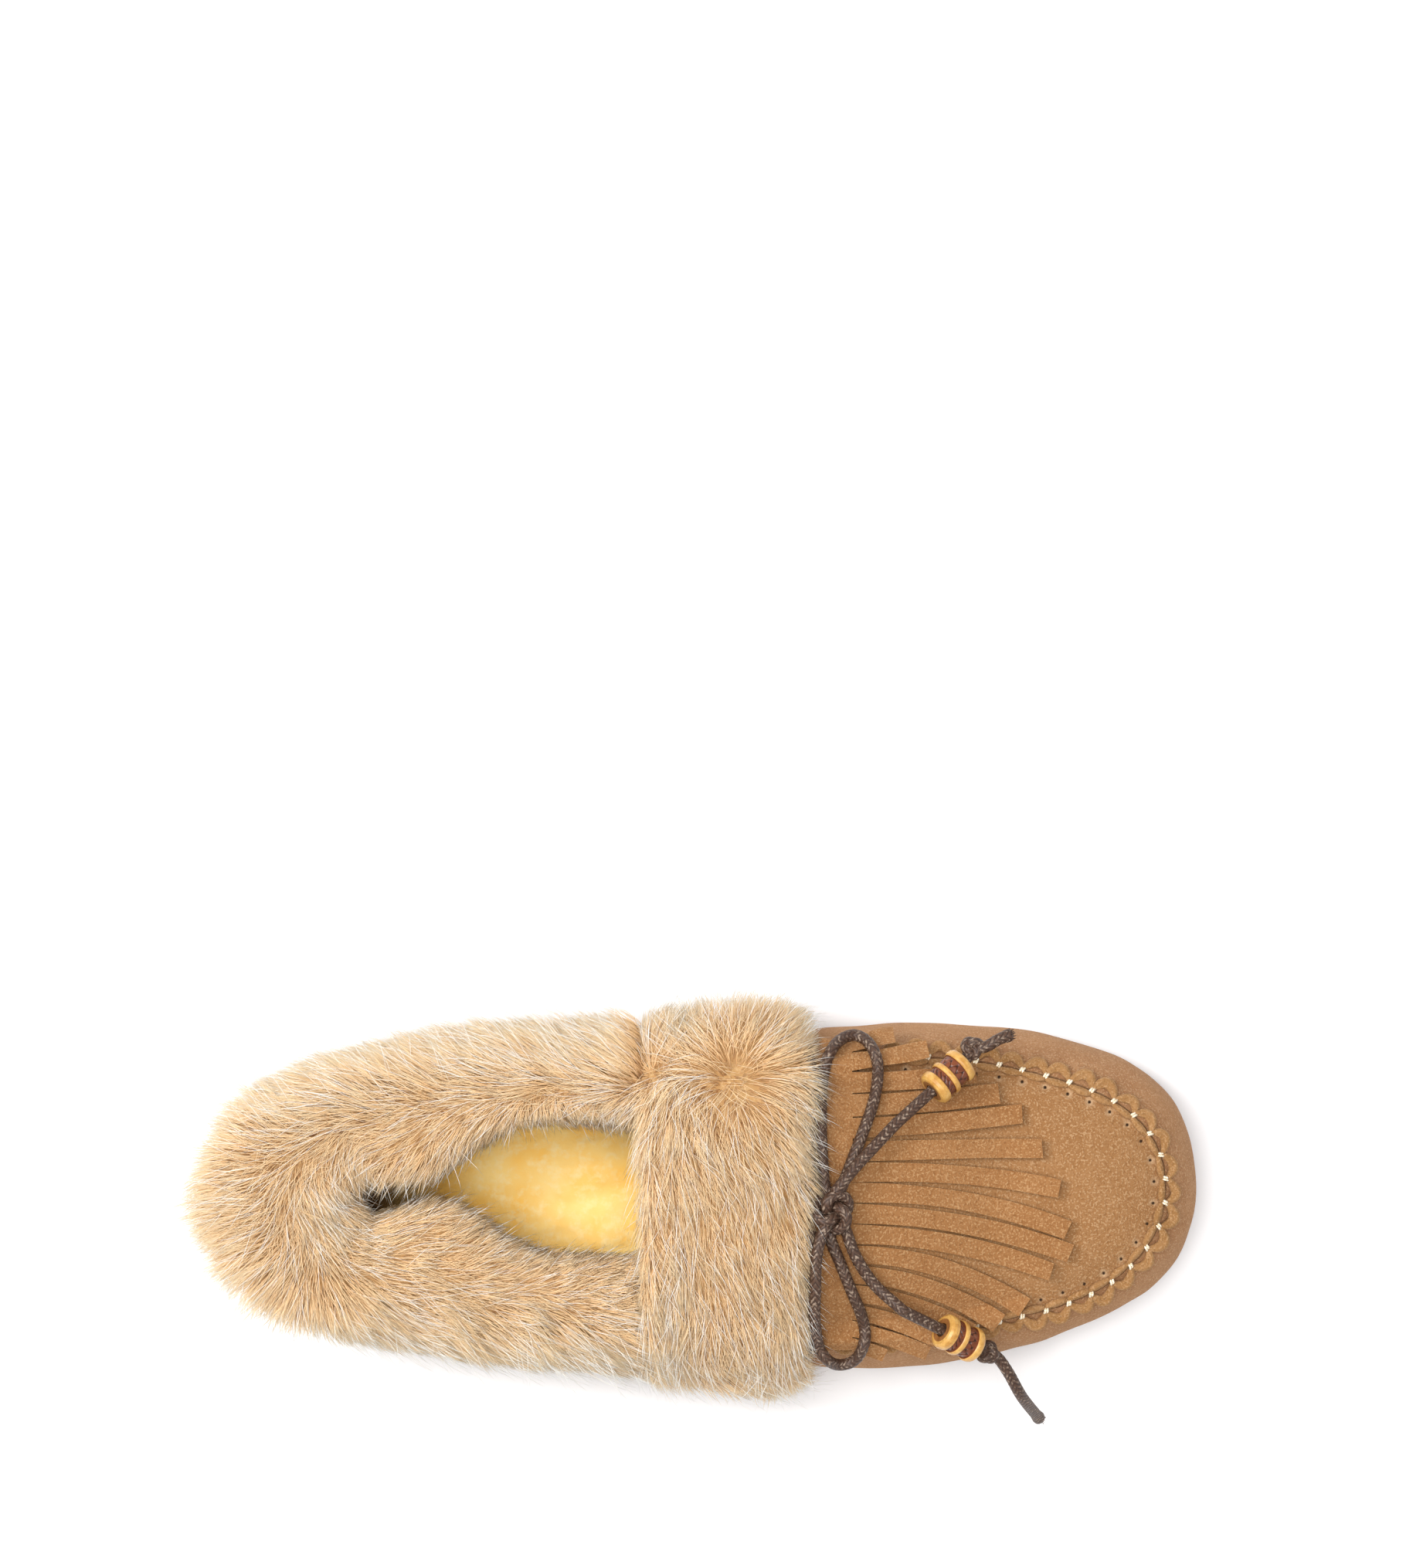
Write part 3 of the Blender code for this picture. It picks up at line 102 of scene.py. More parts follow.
STRIPS = [  # root, bend and tip in plan, full width, hinged or not
    ((.0385, .0397), (.0450, .0411), (.0505, .0421), .0034, False),
    ((.0385, .0354), (.0490, .0368), (.0595, .0388), .0044, False),
    ((.0385, .0302), (.0550, .0308), (.0725, .0322), .0048, False),
    ((.0385, .0245), (.0580, .0253), (.0783, .0272), .0054, False),
    ((.0385, .0187), (.0600, .0197), (.0838, .0219), .0050, False),
    ((.0385, .0128), (.0600, .0130), (.0890, .0130), .0050, False),
    ((.0385, .0074), (.0650, .0066), (.0935, .0026), .0048, True),
    ((.0385, .0022), (.0650, .0002), (.0960, -.0083), .0048, True),
    ((.0385, -.0031), (.0650, -.0058), (.0965, -.0143), .0048, True),
    ((.0385, -.0084), (.0650, -.0114), (.0918, -.0192), .0048, True),
    ((.0385, -.0138), (.0640, -.0181), (.0848, -.0285), .0046, False),
    ((.0385, -.0189), (.0590, -.0228), (.0780, -.0325), .0046, False),
    ((.0385, -.0239), (.0540, -.0270), (.0706, -.0350), .0044, False),
    ((.0385, -.0286), (.0490, -.0311), (.0615, -.0362), .0040, False),
    ((.0385, -.0330), (.0480, -.0356), (.0600, -.0404), .0038, False),
    ((.0385, -.0372), (.0430, -.0385), (.0480, -.0404), .0034, False)]
LOOP_MEDIAL = [(.0338, .0012, 0), (.0324, .0046, 0), (.0318, .0120, 0), (.0316, .0220, 0), (.0322, .0320, 0),
               (.0350, .0396, 0), (.0400, .0424, 0), (.0443, .0402, 0), (.0464, .0345, 0),
               (.0455, .0265, 0), (.0425, .0180, 0), (.0397, .0110, 0), (.0374, .0052, 0), (.0360, .0018, 0)]
LOOP_LATERAL = [(.0326, -.0060, 1), (.0312, -.0094, 1), (.0302, -.0150, 1), (.0300, -.0230, 1), (.0300, -.0310, 1),
                (.0314, -.0385, .8), (.0355, -.0426, .3), (.0405, -.0415, .1), (.0430, -.0360, 0),
                (.0422, -.0300, 0), (.0393, -.0228, 0), (.0362, -.0150, 0), (.0340, -.0096, 0), (.0342, -.0062, 0)]
# bead centre, its direction, slope sign; the knot
BEADS = {"medial": ((.0645, .0320, .05352), (.71905, .63277, -.28735)),
         "lateral": ((.0673, -.0358, .05177), (.76633, -.40929, -.4952))}
BEAD_LEN, BEAD_R, BEAD_BORE, SLIDE, KNOT_R = 0.0117, 0.00475, 0.0019, 0.0120, 0.0031
KNOT = (.0347, -.0020)


# --------------------------------------------------------------- settings
def hex_colour(code):
    """sRGB hex to the linear colour that shaders take: each channel over
    12.92 up to 0.04045, and ((channel + 0.055) / 1.055) to the 2.4 above."""
    c = np.array([int(code[k:k + 2], 16) / 255 for k in (1, 3, 5)])
    c = np.where(c <= 0.04045, c / 12.92, ((c + 0.055) / 1.055) ** 2.4)
    return (float(c[0]), float(c[1]), float(c[2]), 1.0)


class SuedeSizes(bpy.types.PropertyGroup):
    """Sizes and colours of the suede upper."""
    pucker: FloatProperty(name="Pucker height", description="How far the suede rises between two stitches",
                          default=0.00055, min=0.0, max=0.003, subtype="DISTANCE", unit="LENGTH")
    tip_lift: FloatProperty(name="Tip lift", description="How far the tips of the fringe stand off the apron",
                            default=0.0011, min=0.0, max=0.004, subtype="DISTANCE", unit="LENGTH")
    apron: FloatVectorProperty(name="Apron colour", description="Middle tone of the suede on top of the foot",
                               default=hex_colour("#9a7048")[:3], min=0.0, max=1.0, size=3, subtype="COLOR")
    wrap: FloatVectorProperty(name="Wrap colour", description="Middle tone of the suede round toe and sides",
                              default=hex_colour("#9d724e")[:3], min=0.0, max=1.0, size=3, subtype="COLOR")
    fringe: FloatVectorProperty(name="Fringe colour", description="Middle tone of the kiltie and its strips",
                                default=hex_colour("#986b42")[:3], min=0.0, max=1.0, size=3, subtype="COLOR")
    seam: FloatVectorProperty(name="Seam colour", description="Middle tone of the seam's gathered folds",
                              default=hex_colour("#9f764c")[:3], min=0.0, max=1.0, size=3, subtype="COLOR")


class CordSizes(bpy.types.PropertyGroup):
    """Sizes of the waxed cord and its beads, and the cord's colour."""
    radius: FloatProperty(name="Cord radius", description="Half the thickness of the braided cord",
                          default=0.0015, min=0.0008, max=0.0025, subtype="DISTANCE", unit="LENGTH")
    plait: FloatProperty(name="Plait pitch", description="Length of one plait of the braid along the cord",
                         default=0.0016, min=0.0006, max=0.004, subtype="DISTANCE", unit="LENGTH")
    carve: FloatProperty(name="Carving depth", description="Depth of the carving in the beads' brown bands",
                         default=0.00022, min=0.0, max=0.0006, subtype="DISTANCE", unit="LENGTH")
    tone: FloatVectorProperty(name="Cord colour", description="Colour of the cord on top of its plaits",
                              default=hex_colour("#4f382b")[:3], min=0.0, max=1.0, size=3, subtype="COLOR")


class FurSizes(bpy.types.PropertyGroup):
    """Sizes and colour of the fur cuffs, and the shearling insole's colour."""
    length: FloatProperty(name="Hair length", description="Length of the longer hairs",
                          default=0.0160, min=0.004, max=0.022, subtype="DISTANCE", unit="LENGTH")
    radius: FloatProperty(name="Hair radius",
                          description="Half a hair's thickness at its root, coarser than real so that it shows",
                          default=0.000095, min=0.00003, max=0.0004, subtype="DISTANCE", unit="LENGTH")
    tufts_heel: IntProperty(name="Heel tufts", description="Number of tufts on the cuff round the heel",
                            default=4100, min=100, max=6000)
    tufts_instep: IntProperty(name="Instep tufts", description="Number of tufts on the cuff over the instep",
                              default=1450, min=100, max=3000)
    tuft: IntProperty(name="Hairs a tuft", description="Number of hairs in one tuft", default=12, min=4, max=30)
    tone: FloatVectorProperty(name="Fur colour", description="Colour of a hair half way up",
                              default=hex_colour("#fce0b4")[:3], min=0.0, max=1.0, size=3, subtype="COLOR")
    insole: FloatVectorProperty(name="Insole colour", description="Middle tone of the shearling insole",
                                default=hex_colour("#ffdc8a")[:3], min=0.0, max=1.0, size=3, subtype="COLOR")


# ------------------------------------------------------------ small curves
def smooth_curve(rows, per, closed=False):
    """Catmull-Rom curve through rows: between two rows, a cubic in t whose
    slope at each row is half the step from the row before to the row after."""
    p = np.array(rows, float)
    if closed:
        a, b, c, d = np.roll(p, 1, 0), p, np.roll(p, -1, 0), np.roll(p, -2, 0)
    else:
        e = np.vstack([2 * p[0] - p[1], p, 2 * p[-1] - p[-2]])
        a, b, c, d = e[:-3], e[1:-2], e[2:-1], e[3:]
    t = (np.arange(per) / per)[None, :, None]
    a, b, c, d = (v[:, None, :] for v in (a, b, c, d))
    out = 0.5 * (2 * b + (c - a) * t + (2 * a - 5 * b + 4 * c - d) * t ** 2
                 + (3 * b - a - 3 * c + d) * t ** 3)
    out = out.reshape(-1, p.shape[1])
    return out if closed else np.vstack([out, p[-1:]])


def run_length(pts):
    """Distance along a polyline at each of its points, the sum of its steps."""
    return np.concatenate([[0.0], np.cumsum(np.linalg.norm(np.diff(pts, axis=0), axis=1))])


def resample(pts, n):
    """n points equally spaced along a polyline."""
    pts = np.asarray(pts, float)
    d = run_length(pts)
    s = np.linspace(0, d[-1], n)
    return np.stack([np.interp(s, d, pts[:, k]) for k in range(pts.shape[1])], 1)


def ease(t):
    """3t^2 - 2t^3 for t held between 0 and 1."""
    t = np.clip(t, 0.0, 1.0)
    return t * t * (3 - 2 * t)


def unit(v):
    """Rows of v divided by their lengths."""
    return v / np.maximum(np.linalg.norm(v, axis=-1, keepdims=True), 1e-12)


# -------------------------------------------------- the shape of the upper
OUT_P = smooth_curve(OUTLINE, 14, True)
SEAM_P = smooth_curve(SEAM, 14)
RIDGE_P = smooth_curve(RIDGE, 16)
TOP_P = smooth_curve(TOPLINE, 16)
CEN_P = smooth_curve(CENTRE, 16)


def centre_y(x):
    """Y of the spine at x, read off its curve."""
    return np.interp(x, CEN_P[:, 0], CEN_P[:, 1])


def ridge_z(x):
    """Height of the ridge at x: its curve, and in the last 12 mm before the
    toe's centre a parabola that comes level there, so that no crease runs
    across the toe."""
    x = np.minimum(x, TOE_X)
    w, x0 = 0.012, TOE_X - 0.012
    z0 = np.interp(x0, RIDGE_P[:, 0], RIDGE_P[:, 1])
    g = (z0 - np.interp(x0 - 0.001, RIDGE_P[:, 0], RIDGE_P[:, 1])) / 0.001
    t = np.clip(x - x0, 0, w)
    return np.where(x > x0, z0 + g * (t - t * t / (2 * w)), np.interp(x, RIDGE_P[:, 0], RIDGE_P[:, 1]))


def station(s):
    """Plan centre x and outward direction of a station: 0..1 and 5..6 fan
    round the heel, 1..2 is the medial side, 2..4 fans round the toe and
    4..5 is the lateral side."""
    s = np.mod(s, 6.0)
    x = np.where(s <= 3, HEEL_X + np.clip(s - 1, 0, 1) * (TOE_X - HEEL_X),
                 TOE_X - np.clip(s - 4, 0, 1) * (TOE_X - HEEL_X))
    h = math.pi / 2
    a = np.select([s < 1, s <= 2, s < 4, s <= 5], [2 * h - s * h, h + 0 * s, h - (s - 2) * h, -h + 0 * s],
                  -h - (s - 5) * h)
    return x, np.cos(a), np.sin(a)


def ray_lengths(line, closed):
    """For each tabled station, the furthest crossing of the ray from its
    centre with a plan line, by Cramer's rule on ray and segment."""
    x, dx, dy = station(S_TAB)
    cy = centre_y(x)
    a = line if closed else line[:-1]
    b = np.roll(line, -1, 0) if closed else line[1:]
    e = b - a
    det = -dx[:, None] * e[None, :, 1] + dy[:, None] * e[None, :, 0]
    det = np.where(np.abs(det) < 1e-15, 1e-15, det)
    rx, ry = a[None, :, 0] - x[:, None], a[None, :, 1] - cy[:, None]
    t = (-rx * e[None, :, 1] + ry * e[None, :, 0]) / det
    u = (dx[:, None] * ry - dy[:, None] * rx) / det
    t = np.where((u >= -1e-9) & (u <= 1 + 1e-9) & (t > 0), t, -1.0)
    return t.max(axis=1)


S_TAB = np.linspace(0, 6, 2401)
OUT_TAB = ray_lengths(OUT_P, True)
SEAM_TAB = ray_lengths(SEAM_P, False)
SEAM_TAB = np.where(SEAM_TAB > 0, SEAM_TAB, 0.8 * OUT_TAB)


def reach_out(s):
    """Plan reach of the outline at a station, read off its table."""
    return np.interp(np.mod(s, 6.0), S_TAB, OUT_TAB)


def reach_seam(s):
    """Plan reach of the seam at a station, read off its table."""
    return np.interp(np.mod(s, 6.0), S_TAB, SEAM_TAB)


def side_s(x, side):
    """Station of a plan x on the medial (+1) or lateral (-1) side."""
    f = (np.asarray(x, float) - HEEL_X) / (TOE_X - HEEL_X)
    return 1 + f if side > 0 else 5 - f


def upper(s, q):
    """Outer face of the upper. q -1..0 goes from the sole to the widest
    line, with the plan reach less TUCK q^2; above it the section is a
    superellipse, reach cos(a)^(2/2.6) and height sin(a)^(2/2.2), a = 90 q."""
    x, dx, dy = station(s)
    r = reach_out(s)
    a = np.clip(q, 0, 1) * math.pi / 2
    low = np.minimum(q, 0)
    rho = np.where(q <= 0, 1 - TUCK / r * low * low, np.maximum(np.cos(a), 0) ** (2 / ROUND_N))
    z = np.where(q <= 0, WIDE_Z + low * (WIDE_Z - SOLE_TOP),
                 WIDE_Z + (ridge_z(x) - WIDE_Z) * np.sin(a) ** (2 / ROUND_M))
    return np.stack(np.broadcast_arrays(x + dx * r * rho, centre_y(x) + dy * r * rho, z), -1)


def plan_share(x, y):
    """How far (x, y) lies from the spine, as a share of the plan reach,
    the spine's x there, and its centre's y."""
    toe = x > TOE_X
    xc = np.clip(x, HEEL_X, TOE_X)
    cy = centre_y(xc)
    f = (xc - HEEL_X) / (TOE_X - HEEL_X)
    s = np.where(toe, 3 - np.arctan2(y - cy, x - TOE_X) / (math.pi / 2), np.where(y >= cy, 1 + f, 5 - f))
    dist = np.where(toe, np.hypot(x - TOE_X, y - cy), np.abs(y - cy))
    return dist / reach_out(s), xc, cy


def top_z(x, y):
    """Height of the upper over a plan place, the superellipse solved for z."""
    rho, xc, _ = plan_share(x, y)
    rho = np.minimum(rho, 0.9995)
    return WIDE_Z + (ridge_z(xc) - WIDE_Z) * (1 - rho ** ROUND_N) ** (1 / ROUND_M)


def top_normal(x, y):
    """Unit normal of that height map by central differences."""
    e = 0.0004
    zx = (top_z(x + e, y) - top_z(x - e, y)) / (2 * e)
    zy = (top_z(x, y + e) - top_z(x, y - e)) / (2 * e)
    return unit(np.stack([-zx, -zy, np.ones_like(zx)], -1))


def upper_normal(s, q):
    """Outward unit normal: the cross product of the face's two slopes on
    the wall, eased into the height map's own normal over the top."""
    s, q = np.broadcast_arrays(np.asarray(s, float), np.asarray(q, float))
    e = 0.004
    qc = np.clip(q, -0.995, 0.95)
    du = upper(s + 0.01, qc) - upper(s - 0.01, qc)
    dv = upper(s, qc + e) - upper(s, qc - e)
    n = unit(np.cross(dv, du))
    p = upper(s, np.maximum(q, 0.3))
    k = ease((q - 0.45) / 0.2)[..., None]
    return unit(n * (1 - k) + top_normal(p[..., 0], p[..., 1]) * k)


def q_of_share(rho):
    """Height parameter of a plan share, the section's cosine inverted."""
    return np.arccos(np.clip(rho, 0, 1) ** (ROUND_N / 2)) / (math.pi / 2)


def q_of_z(s, z):
    """Height parameter of a height z at a station."""
    x = station(s)[0]
    up = np.clip((z - WIDE_Z) / (ridge_z(x) - WIDE_Z), 0, 1)
    return np.where(z <= WIDE_Z, (z - WIDE_Z) / (WIDE_Z - SOLE_TOP),
                    np.arcsin(up ** (ROUND_M / 2)) / (math.pi / 2))


def q_seam(s, shift):
    """Height parameter of the seam line, moved outward by shift in plan."""
    return q_of_share((reach_seam(s) + shift) / reach_out(s))


def wall_top(s):
    """Upper edge of the wall: the seam in front of the mouth, the topline
    behind it, eased over 10 mm."""
    c, dx, _ = station(s)
    x = c + dx * reach_out(s)
    q_top = q_of_z(s, np.interp(x, TOP_P[:, 0], TOP_P[:, 1]))
    m = np.mod(s, 6.0)
    front = (m >= 1) & (m <= 5) & (x > MOUTH_X)
    f = np.where(front, 1.0, ease((x - MOUTH_X + 0.010) / 0.010))
    return q_top * (1 - f) + q_seam(s, 0.0003) * f


# ----------------------------------------------------- the seam's own frame
_run = SEAM_P[(np.arange(len(SEAM_P)) >= np.argmax(SEAM_P[:, 0] >= 0.034))]
_run = _run[:len(_run) - np.argmax(_run[::-1, 0] >= 0.034)]
SEAM_FINE = resample(_run, 1201)
SEAM_LEN = run_length(SEAM_FINE)[-1]
STITCHES = int(round(SEAM_LEN / STITCH))


def off_seam(x, y):
    """Stitch count along the seam and signed plan distance from it, plus
    outside, at the nearest of its points."""
    shape = np.shape(x)
    x, y = np.ravel(x), np.ravel(y)
    near = np.empty(len(x), int)
    for k in range(0, len(x), 20000):
        d = ((x[k:k + 20000, None] - SEAM_FINE[None, ::2, 0]) ** 2
             + (y[k:k + 20000, None] - SEAM_FINE[None, ::2, 1]) ** 2)
        near[k:k + 20000] = d.argmin(1) * 2
    p = SEAM_FINE[near]
    t = unit(np.gradient(SEAM_FINE, axis=0))[near]
    dx, dy = x - p[:, 0], y - p[:, 1]
    along = dx * t[:, 0] + dy * t[:, 1]
    side = -dx * t[:, 1] + dy * t[:, 0]          # the seam runs clockwise: + is outside
    count = (near / 1200 * SEAM_LEN + along) / SEAM_LEN * STITCHES
    far = np.hypot(dx, dy)
    return count.reshape(shape), (np.sign(side) * far).reshape(shape)


def lift(x, y):
    """Extra height that carries the kiltie over the seam lacing."""
    d = np.abs(off_seam(x, y)[1])
    return (2 * LACE_H + GAP + 0.0006 + 2 * THREAD_R) * (1 - ease((d - 0.0026) / 0.0036))


def keep_in(x, y, limit):
    """Plan places pulled in to a share of the reach."""
    rho, xc, cy = plan_share(x, y)
    k = np.where(rho > limit, limit / np.maximum(rho, 1e-9), 1.0)
    return np.where(x > TOE_X, xc + (x - xc) * k, x), cy + (y - cy) * k


def drape(x, y, off, limit=0.975):
    """Point off above the top, and above the lacing where that is under
    it, whose plan place is (x, y): the foot moves by six tenths of the miss
    sixteen times."""
    x, y, off = (np.asarray(v, float) for v in np.broadcast_arrays(x, y, off))
    px, py = keep_in(x, y, limit)
    rise = lift(x, y)
    for k in range(16):
        n = top_normal(px, py)
        if k in (4, 9, 15):
            rise = lift(px, py)
        o = off + rise
        px, py = keep_in(px + 0.6 * (x - px - o * n[..., 0]), py + 0.6 * (y - py - o * n[..., 1]), limit)
    rise = lift(px, py)
    return np.stack([px, py, top_z(px, py)], -1) + (off + rise)[..., None] * top_normal(px, py)


# ----------------------------------------------------------------- meshes
def mesh_of(name, co, faces, uv=None, uv_name="strand", values=None, weld=0.0, turn=True, sharp=None):
    """Mesh object at the origin from a point array and arrays of triangles
    or quads; uv and values hold one row a point. Points nearer than weld
    are made one, and the normals are turned outwards."""
    me = bpy.data.meshes.new(name)
    co = np.ascontiguousarray(co, np.float32).reshape(-1, 3)
    loops = np.concatenate([np.asarray(f, np.int32).ravel() for f in faces])
    sizes = np.concatenate([np.full(len(f), np.shape(f)[1], np.int32) for f in faces])
    me.vertices.add(len(co))
    me.vertices.foreach_set("co", co.ravel())
    me.loops.add(len(loops))
    me.loops.foreach_set("vertex_index", loops)
    me.polygons.add(len(sizes))
    me.polygons.foreach_set("loop_start", np.concatenate([[0], np.cumsum(sizes)[:-1]]).astype(np.int32))
    me.update(calc_edges=True)
    if uv is not None:
        layer = me.uv_layers.new(name=uv_name)
        layer.data.foreach_set("uv", np.asarray(uv, np.float32).reshape(-1, 2)[loops].ravel())
    if values is not None:
        for key, row in values.items():
            me.attributes.new(key, "FLOAT", "POINT").data.foreach_set("value", np.asarray(row, np.float32).ravel())
    if weld or turn:
        bm = bmesh.new()
        bm.from_mesh(me)
        if weld:
            bmesh.ops.remove_doubles(bm, verts=bm.verts, dist=weld)
        if turn:
            bmesh.ops.recalc_face_normals(bm, faces=bm.faces)
        bm.to_mesh(me)
        bm.free()
    me.shade_smooth()
    if sharp:
        me.set_sharp_from_angle(angle=math.radians(sharp))
    ob = bpy.data.objects.new(name, me)
    bpy.context.scene.collection.objects.link(ob)
    return ob


def grid_quads(nu, nv, wrap_u=False, wrap_v=False):
    """Quads of a grid of nu by nv points, joined end to end where wrapped."""
    i, j = np.meshgrid(np.arange(nu if wrap_u else nu - 1), np.arange(nv if wrap_v else nv - 1), indexing="ij")
    i, j = i.ravel(), j.ravel()
    i1, j1 = (i + 1) % nu, (j + 1) % nv
    return np.stack([i * nv + j, i1 * nv + j, i1 * nv + j1, i * nv + j1], 1)


def plate(name, outer, inner, wrap=False, rims=(True, True, True, True), **more):
    """Closed plate between two grids of the same shape. rims says which
    edges are walled: first column, last column, first row, last row."""
    nu, nv = outer.shape[:2]
    n = nu * nv
    q = grid_quads(nu, nv, wrap)
    faces = [q, q[:, ::-1] + n]
    i, j = np.arange(nu if wrap else nu - 1), np.arange(nv - 1)
    i1 = (i + 1) % nu
    for on, a, b in ((rims[2], i * nv, i1 * nv), (rims[3], i * nv + nv - 1, i1 * nv + nv - 1),
                     (rims[0] and not wrap, j, j + 1),
                     (rims[1] and not wrap, (nu - 1) * nv + j, (nu - 1) * nv + j + 1)):
        if on:
            faces.append(np.stack([a, b, b + n, a + n], 1))
    if more.get("uv") is not None:
        more["uv"] = np.concatenate([more["uv"].reshape(-1, 2)] * 2)
    co = np.concatenate([outer.reshape(-1, 3), inner.reshape(-1, 3)])
    return mesh_of(name, co, faces, weld=more.pop("weld", 2e-6), sharp=more.pop("sharp", 42), **more)


def path_frames(pts, closed):
    """Tangent T, normal N and T x N along a path: N = unit(up - (up . T) T),
    the direction square to the path that is nearest to straight up. On a
    closed path, whose last point is its first, T runs on over the join."""
    if closed:
        tan = unit(np.roll(pts[:-1], -1, 0) - np.roll(pts[:-1], 1, 0))
        tan = np.concatenate([tan, tan[:1]])
    else:
        tan = unit(np.gradient(pts, axis=0))
    nor = unit(np.array([0, 0, 1.0]) - tan * tan[:, 2:])
    return tan, nor, np.cross(tan, nor)


def tube(name, pts, radius, sides, relief, nors=None, flat=1.0, cap=True):
    """Closed tube: point = path + r (cos a N + flat sin a B), with r the
    radius times a relief of turn and length. The ends close in a dome, or
    the tube runs round a closed path and has none."""
    pts = np.asarray(pts, float)
    tan, nor, bi = path_frames(pts, not cap)
    if nors is not None:
        nor = unit(nors - tan * (nors * tan).sum(1, keepdims=True))
        bi = np.cross(tan, nor)
    d = run_length(pts)
    r = np.broadcast_to(radius, (len(pts),)).astype(float)
    a = 2 * math.pi * np.arange(sides + 1) / sides
    rel = relief(d[:, None], a[None, :])
    if not cap:
        rel = np.concatenate([rel[:-1], rel[:1]])
    ring = np.cos(a)[None, :, None] * nor[:, None] + flat * np.sin(a)[None, :, None] * bi[:, None]
    co = pts[:, None] + (r[:, None] * rel)[..., None] * ring
    uv = np.stack(np.broadcast_arrays(d[:, None] * 1000, a[None, :] / (2 * math.pi)), -1)
    if cap:
        first, last = tan[0] * r[0] * DOME, tan[-1] * r[-1] * DOME
        e0 = (pts[0] - first)[None, None].repeat(sides + 1, 1)
        e1 = (pts[-1] + last)[None, None].repeat(sides + 1, 1)
        m0 = pts[0] - first * 0.7 + (co[:1] - pts[0]) * 0.72
        m1 = pts[-1] + last * 0.7 + (co[-1:] - pts[-1]) * 0.72
        co = np.concatenate([e0, m0, co, m1, e1])
        uv = np.concatenate([uv[:1], uv[:1], uv, uv[-1:], uv[-1:]])
    return mesh_of(name, co, [grid_quads(len(co), sides + 1)], uv=uv, weld=1e-6)


def strands(name, paths, radii, sides, tint, uv_name="OFBake", turn=False):
    """Many closed tapered strands in one mesh: a ring of 3 or 4 corners at
    each point of a path but its last, which is the tip, so that the shape is
    path + r (cos a N + sin a B) with one B for the whole strand. The map
    has the strand's tint across and its length up."""
    n, m = paths.shape[:2]
    tan = unit(np.gradient(paths, axis=1))
    mid = tan[:, m // 2]
    ref = np.where(np.abs(mid[:, 2:3]) < 0.9, np.array([[0, 0, 1.0]]), np.array([[1.0, 0, 0]]))
    b = unit(np.cross(mid, ref))[:, None]
    nn = unit(np.cross(b, tan))
    b = np.cross(tan, nn)
    a = 2 * math.pi * np.arange(sides) / sides
    r = radii[:, :-1, None, None]
    ring = paths[:, :-1, None] + r * (np.cos(a)[:, None] * nn[:, :-1, None] + np.sin(a)[:, None] * b[:, :-1, None])
    co = np.concatenate([ring.reshape(n, -1, 3), paths[:, -1:]], 1)
    per = (m - 1) * sides + 1
    k = np.arange(sides)
    quads = np.concatenate([np.stack([i * sides + k, i * sides + (k + 1) % sides,
                                      (i + 1) * sides + (k + 1) % sides, (i + 1) * sides + k], 1)
                            for i in range(m - 2)])
    tip = np.stack([(m - 2) * sides + k, (m - 2) * sides + (k + 1) % sides, np.full(sides, per - 1)], 1)
    step = (np.arange(n) * per)[:, None, None]
    faces = [(k[::-1][None, None] + step).reshape(-1, sides), (quads[None] + step).reshape(-1, 4),
             (tip[None] + step).reshape(-1, 3)]
    u = tint[:, None, None] + (k * 0.011)[None, None, :] + np.zeros((1, m - 1, 1))
    v = (0.02 + 0.96 * np.arange(m - 1) / (m - 1))[None, :, None] + np.zeros_like(u)
    end = np.stack([tint + 0.011, np.full(n, 0.98)], -1)[:, None]
    table = np.concatenate([np.stack([u, v], -1).reshape(n, -1, 2), end], 1)
    return mesh_of(name, co, faces, uv=table, uv_name=uv_name, turn=turn)


# -------------------------------------------------------------- materials
MATH, MIX, SPAN, NOISE = "ShaderNodeMath", "ShaderNodeMix", "ShaderNodeMapRange", "ShaderNodeTexNoise"


def feed(nt, node, inputs):
    """Each input of a node in turn: a socket is linked to it, a hex becomes
    its colour and anything else its plain value."""
    for key, v in inputs.items():
        if isinstance(v, bpy.types.NodeSocket):
            nt.links.new(v, node.inputs[key])
        else:
            node.inputs[key].default_value = hex_colour(v) if isinstance(v, str) else v


def add(nt, kind, inputs=None, out=0, **settings):
    """Adds one node with its settings, its values and its links, and gives
    the output asked for."""
    node = nt.nodes.new(kind)
    for key, v in settings.items():
        setattr(node, key, v)
    feed(nt, node, inputs or {})
    return node.outputs[out]


def material(name, **shader):
    """A material with one shader whose plain values are set on its own
    sockets, its node tree, the shader and the place in metres."""
    m = bpy.data.materials.new(name)
    m.use_nodes = True
    nt = m.node_tree
    s = nt.nodes["Principled BSDF"]
    feed(nt, s, {key.replace("_", " "): v for key, v in shader.items()})
    return m, nt, s, add(nt, "ShaderNodeTexCoord", out="Object")


def layered(nt, colour, rows):
    """Tones laid over a colour one after another. A row is a value, its low
    and high, the shares of the tone there, and the tone: share = least +
    (most - least) (value - low) / (high - low), held at the ends."""
    for value, low, high, least, most, tone in rows:
        share = add(nt, SPAN, {0: value, 1: low, 2: high, 3: least, 4: most})
        colour = add(nt, MIX, {0: share, 6: colour, 7: tone}, 2, data_type="RGBA")
    return colour


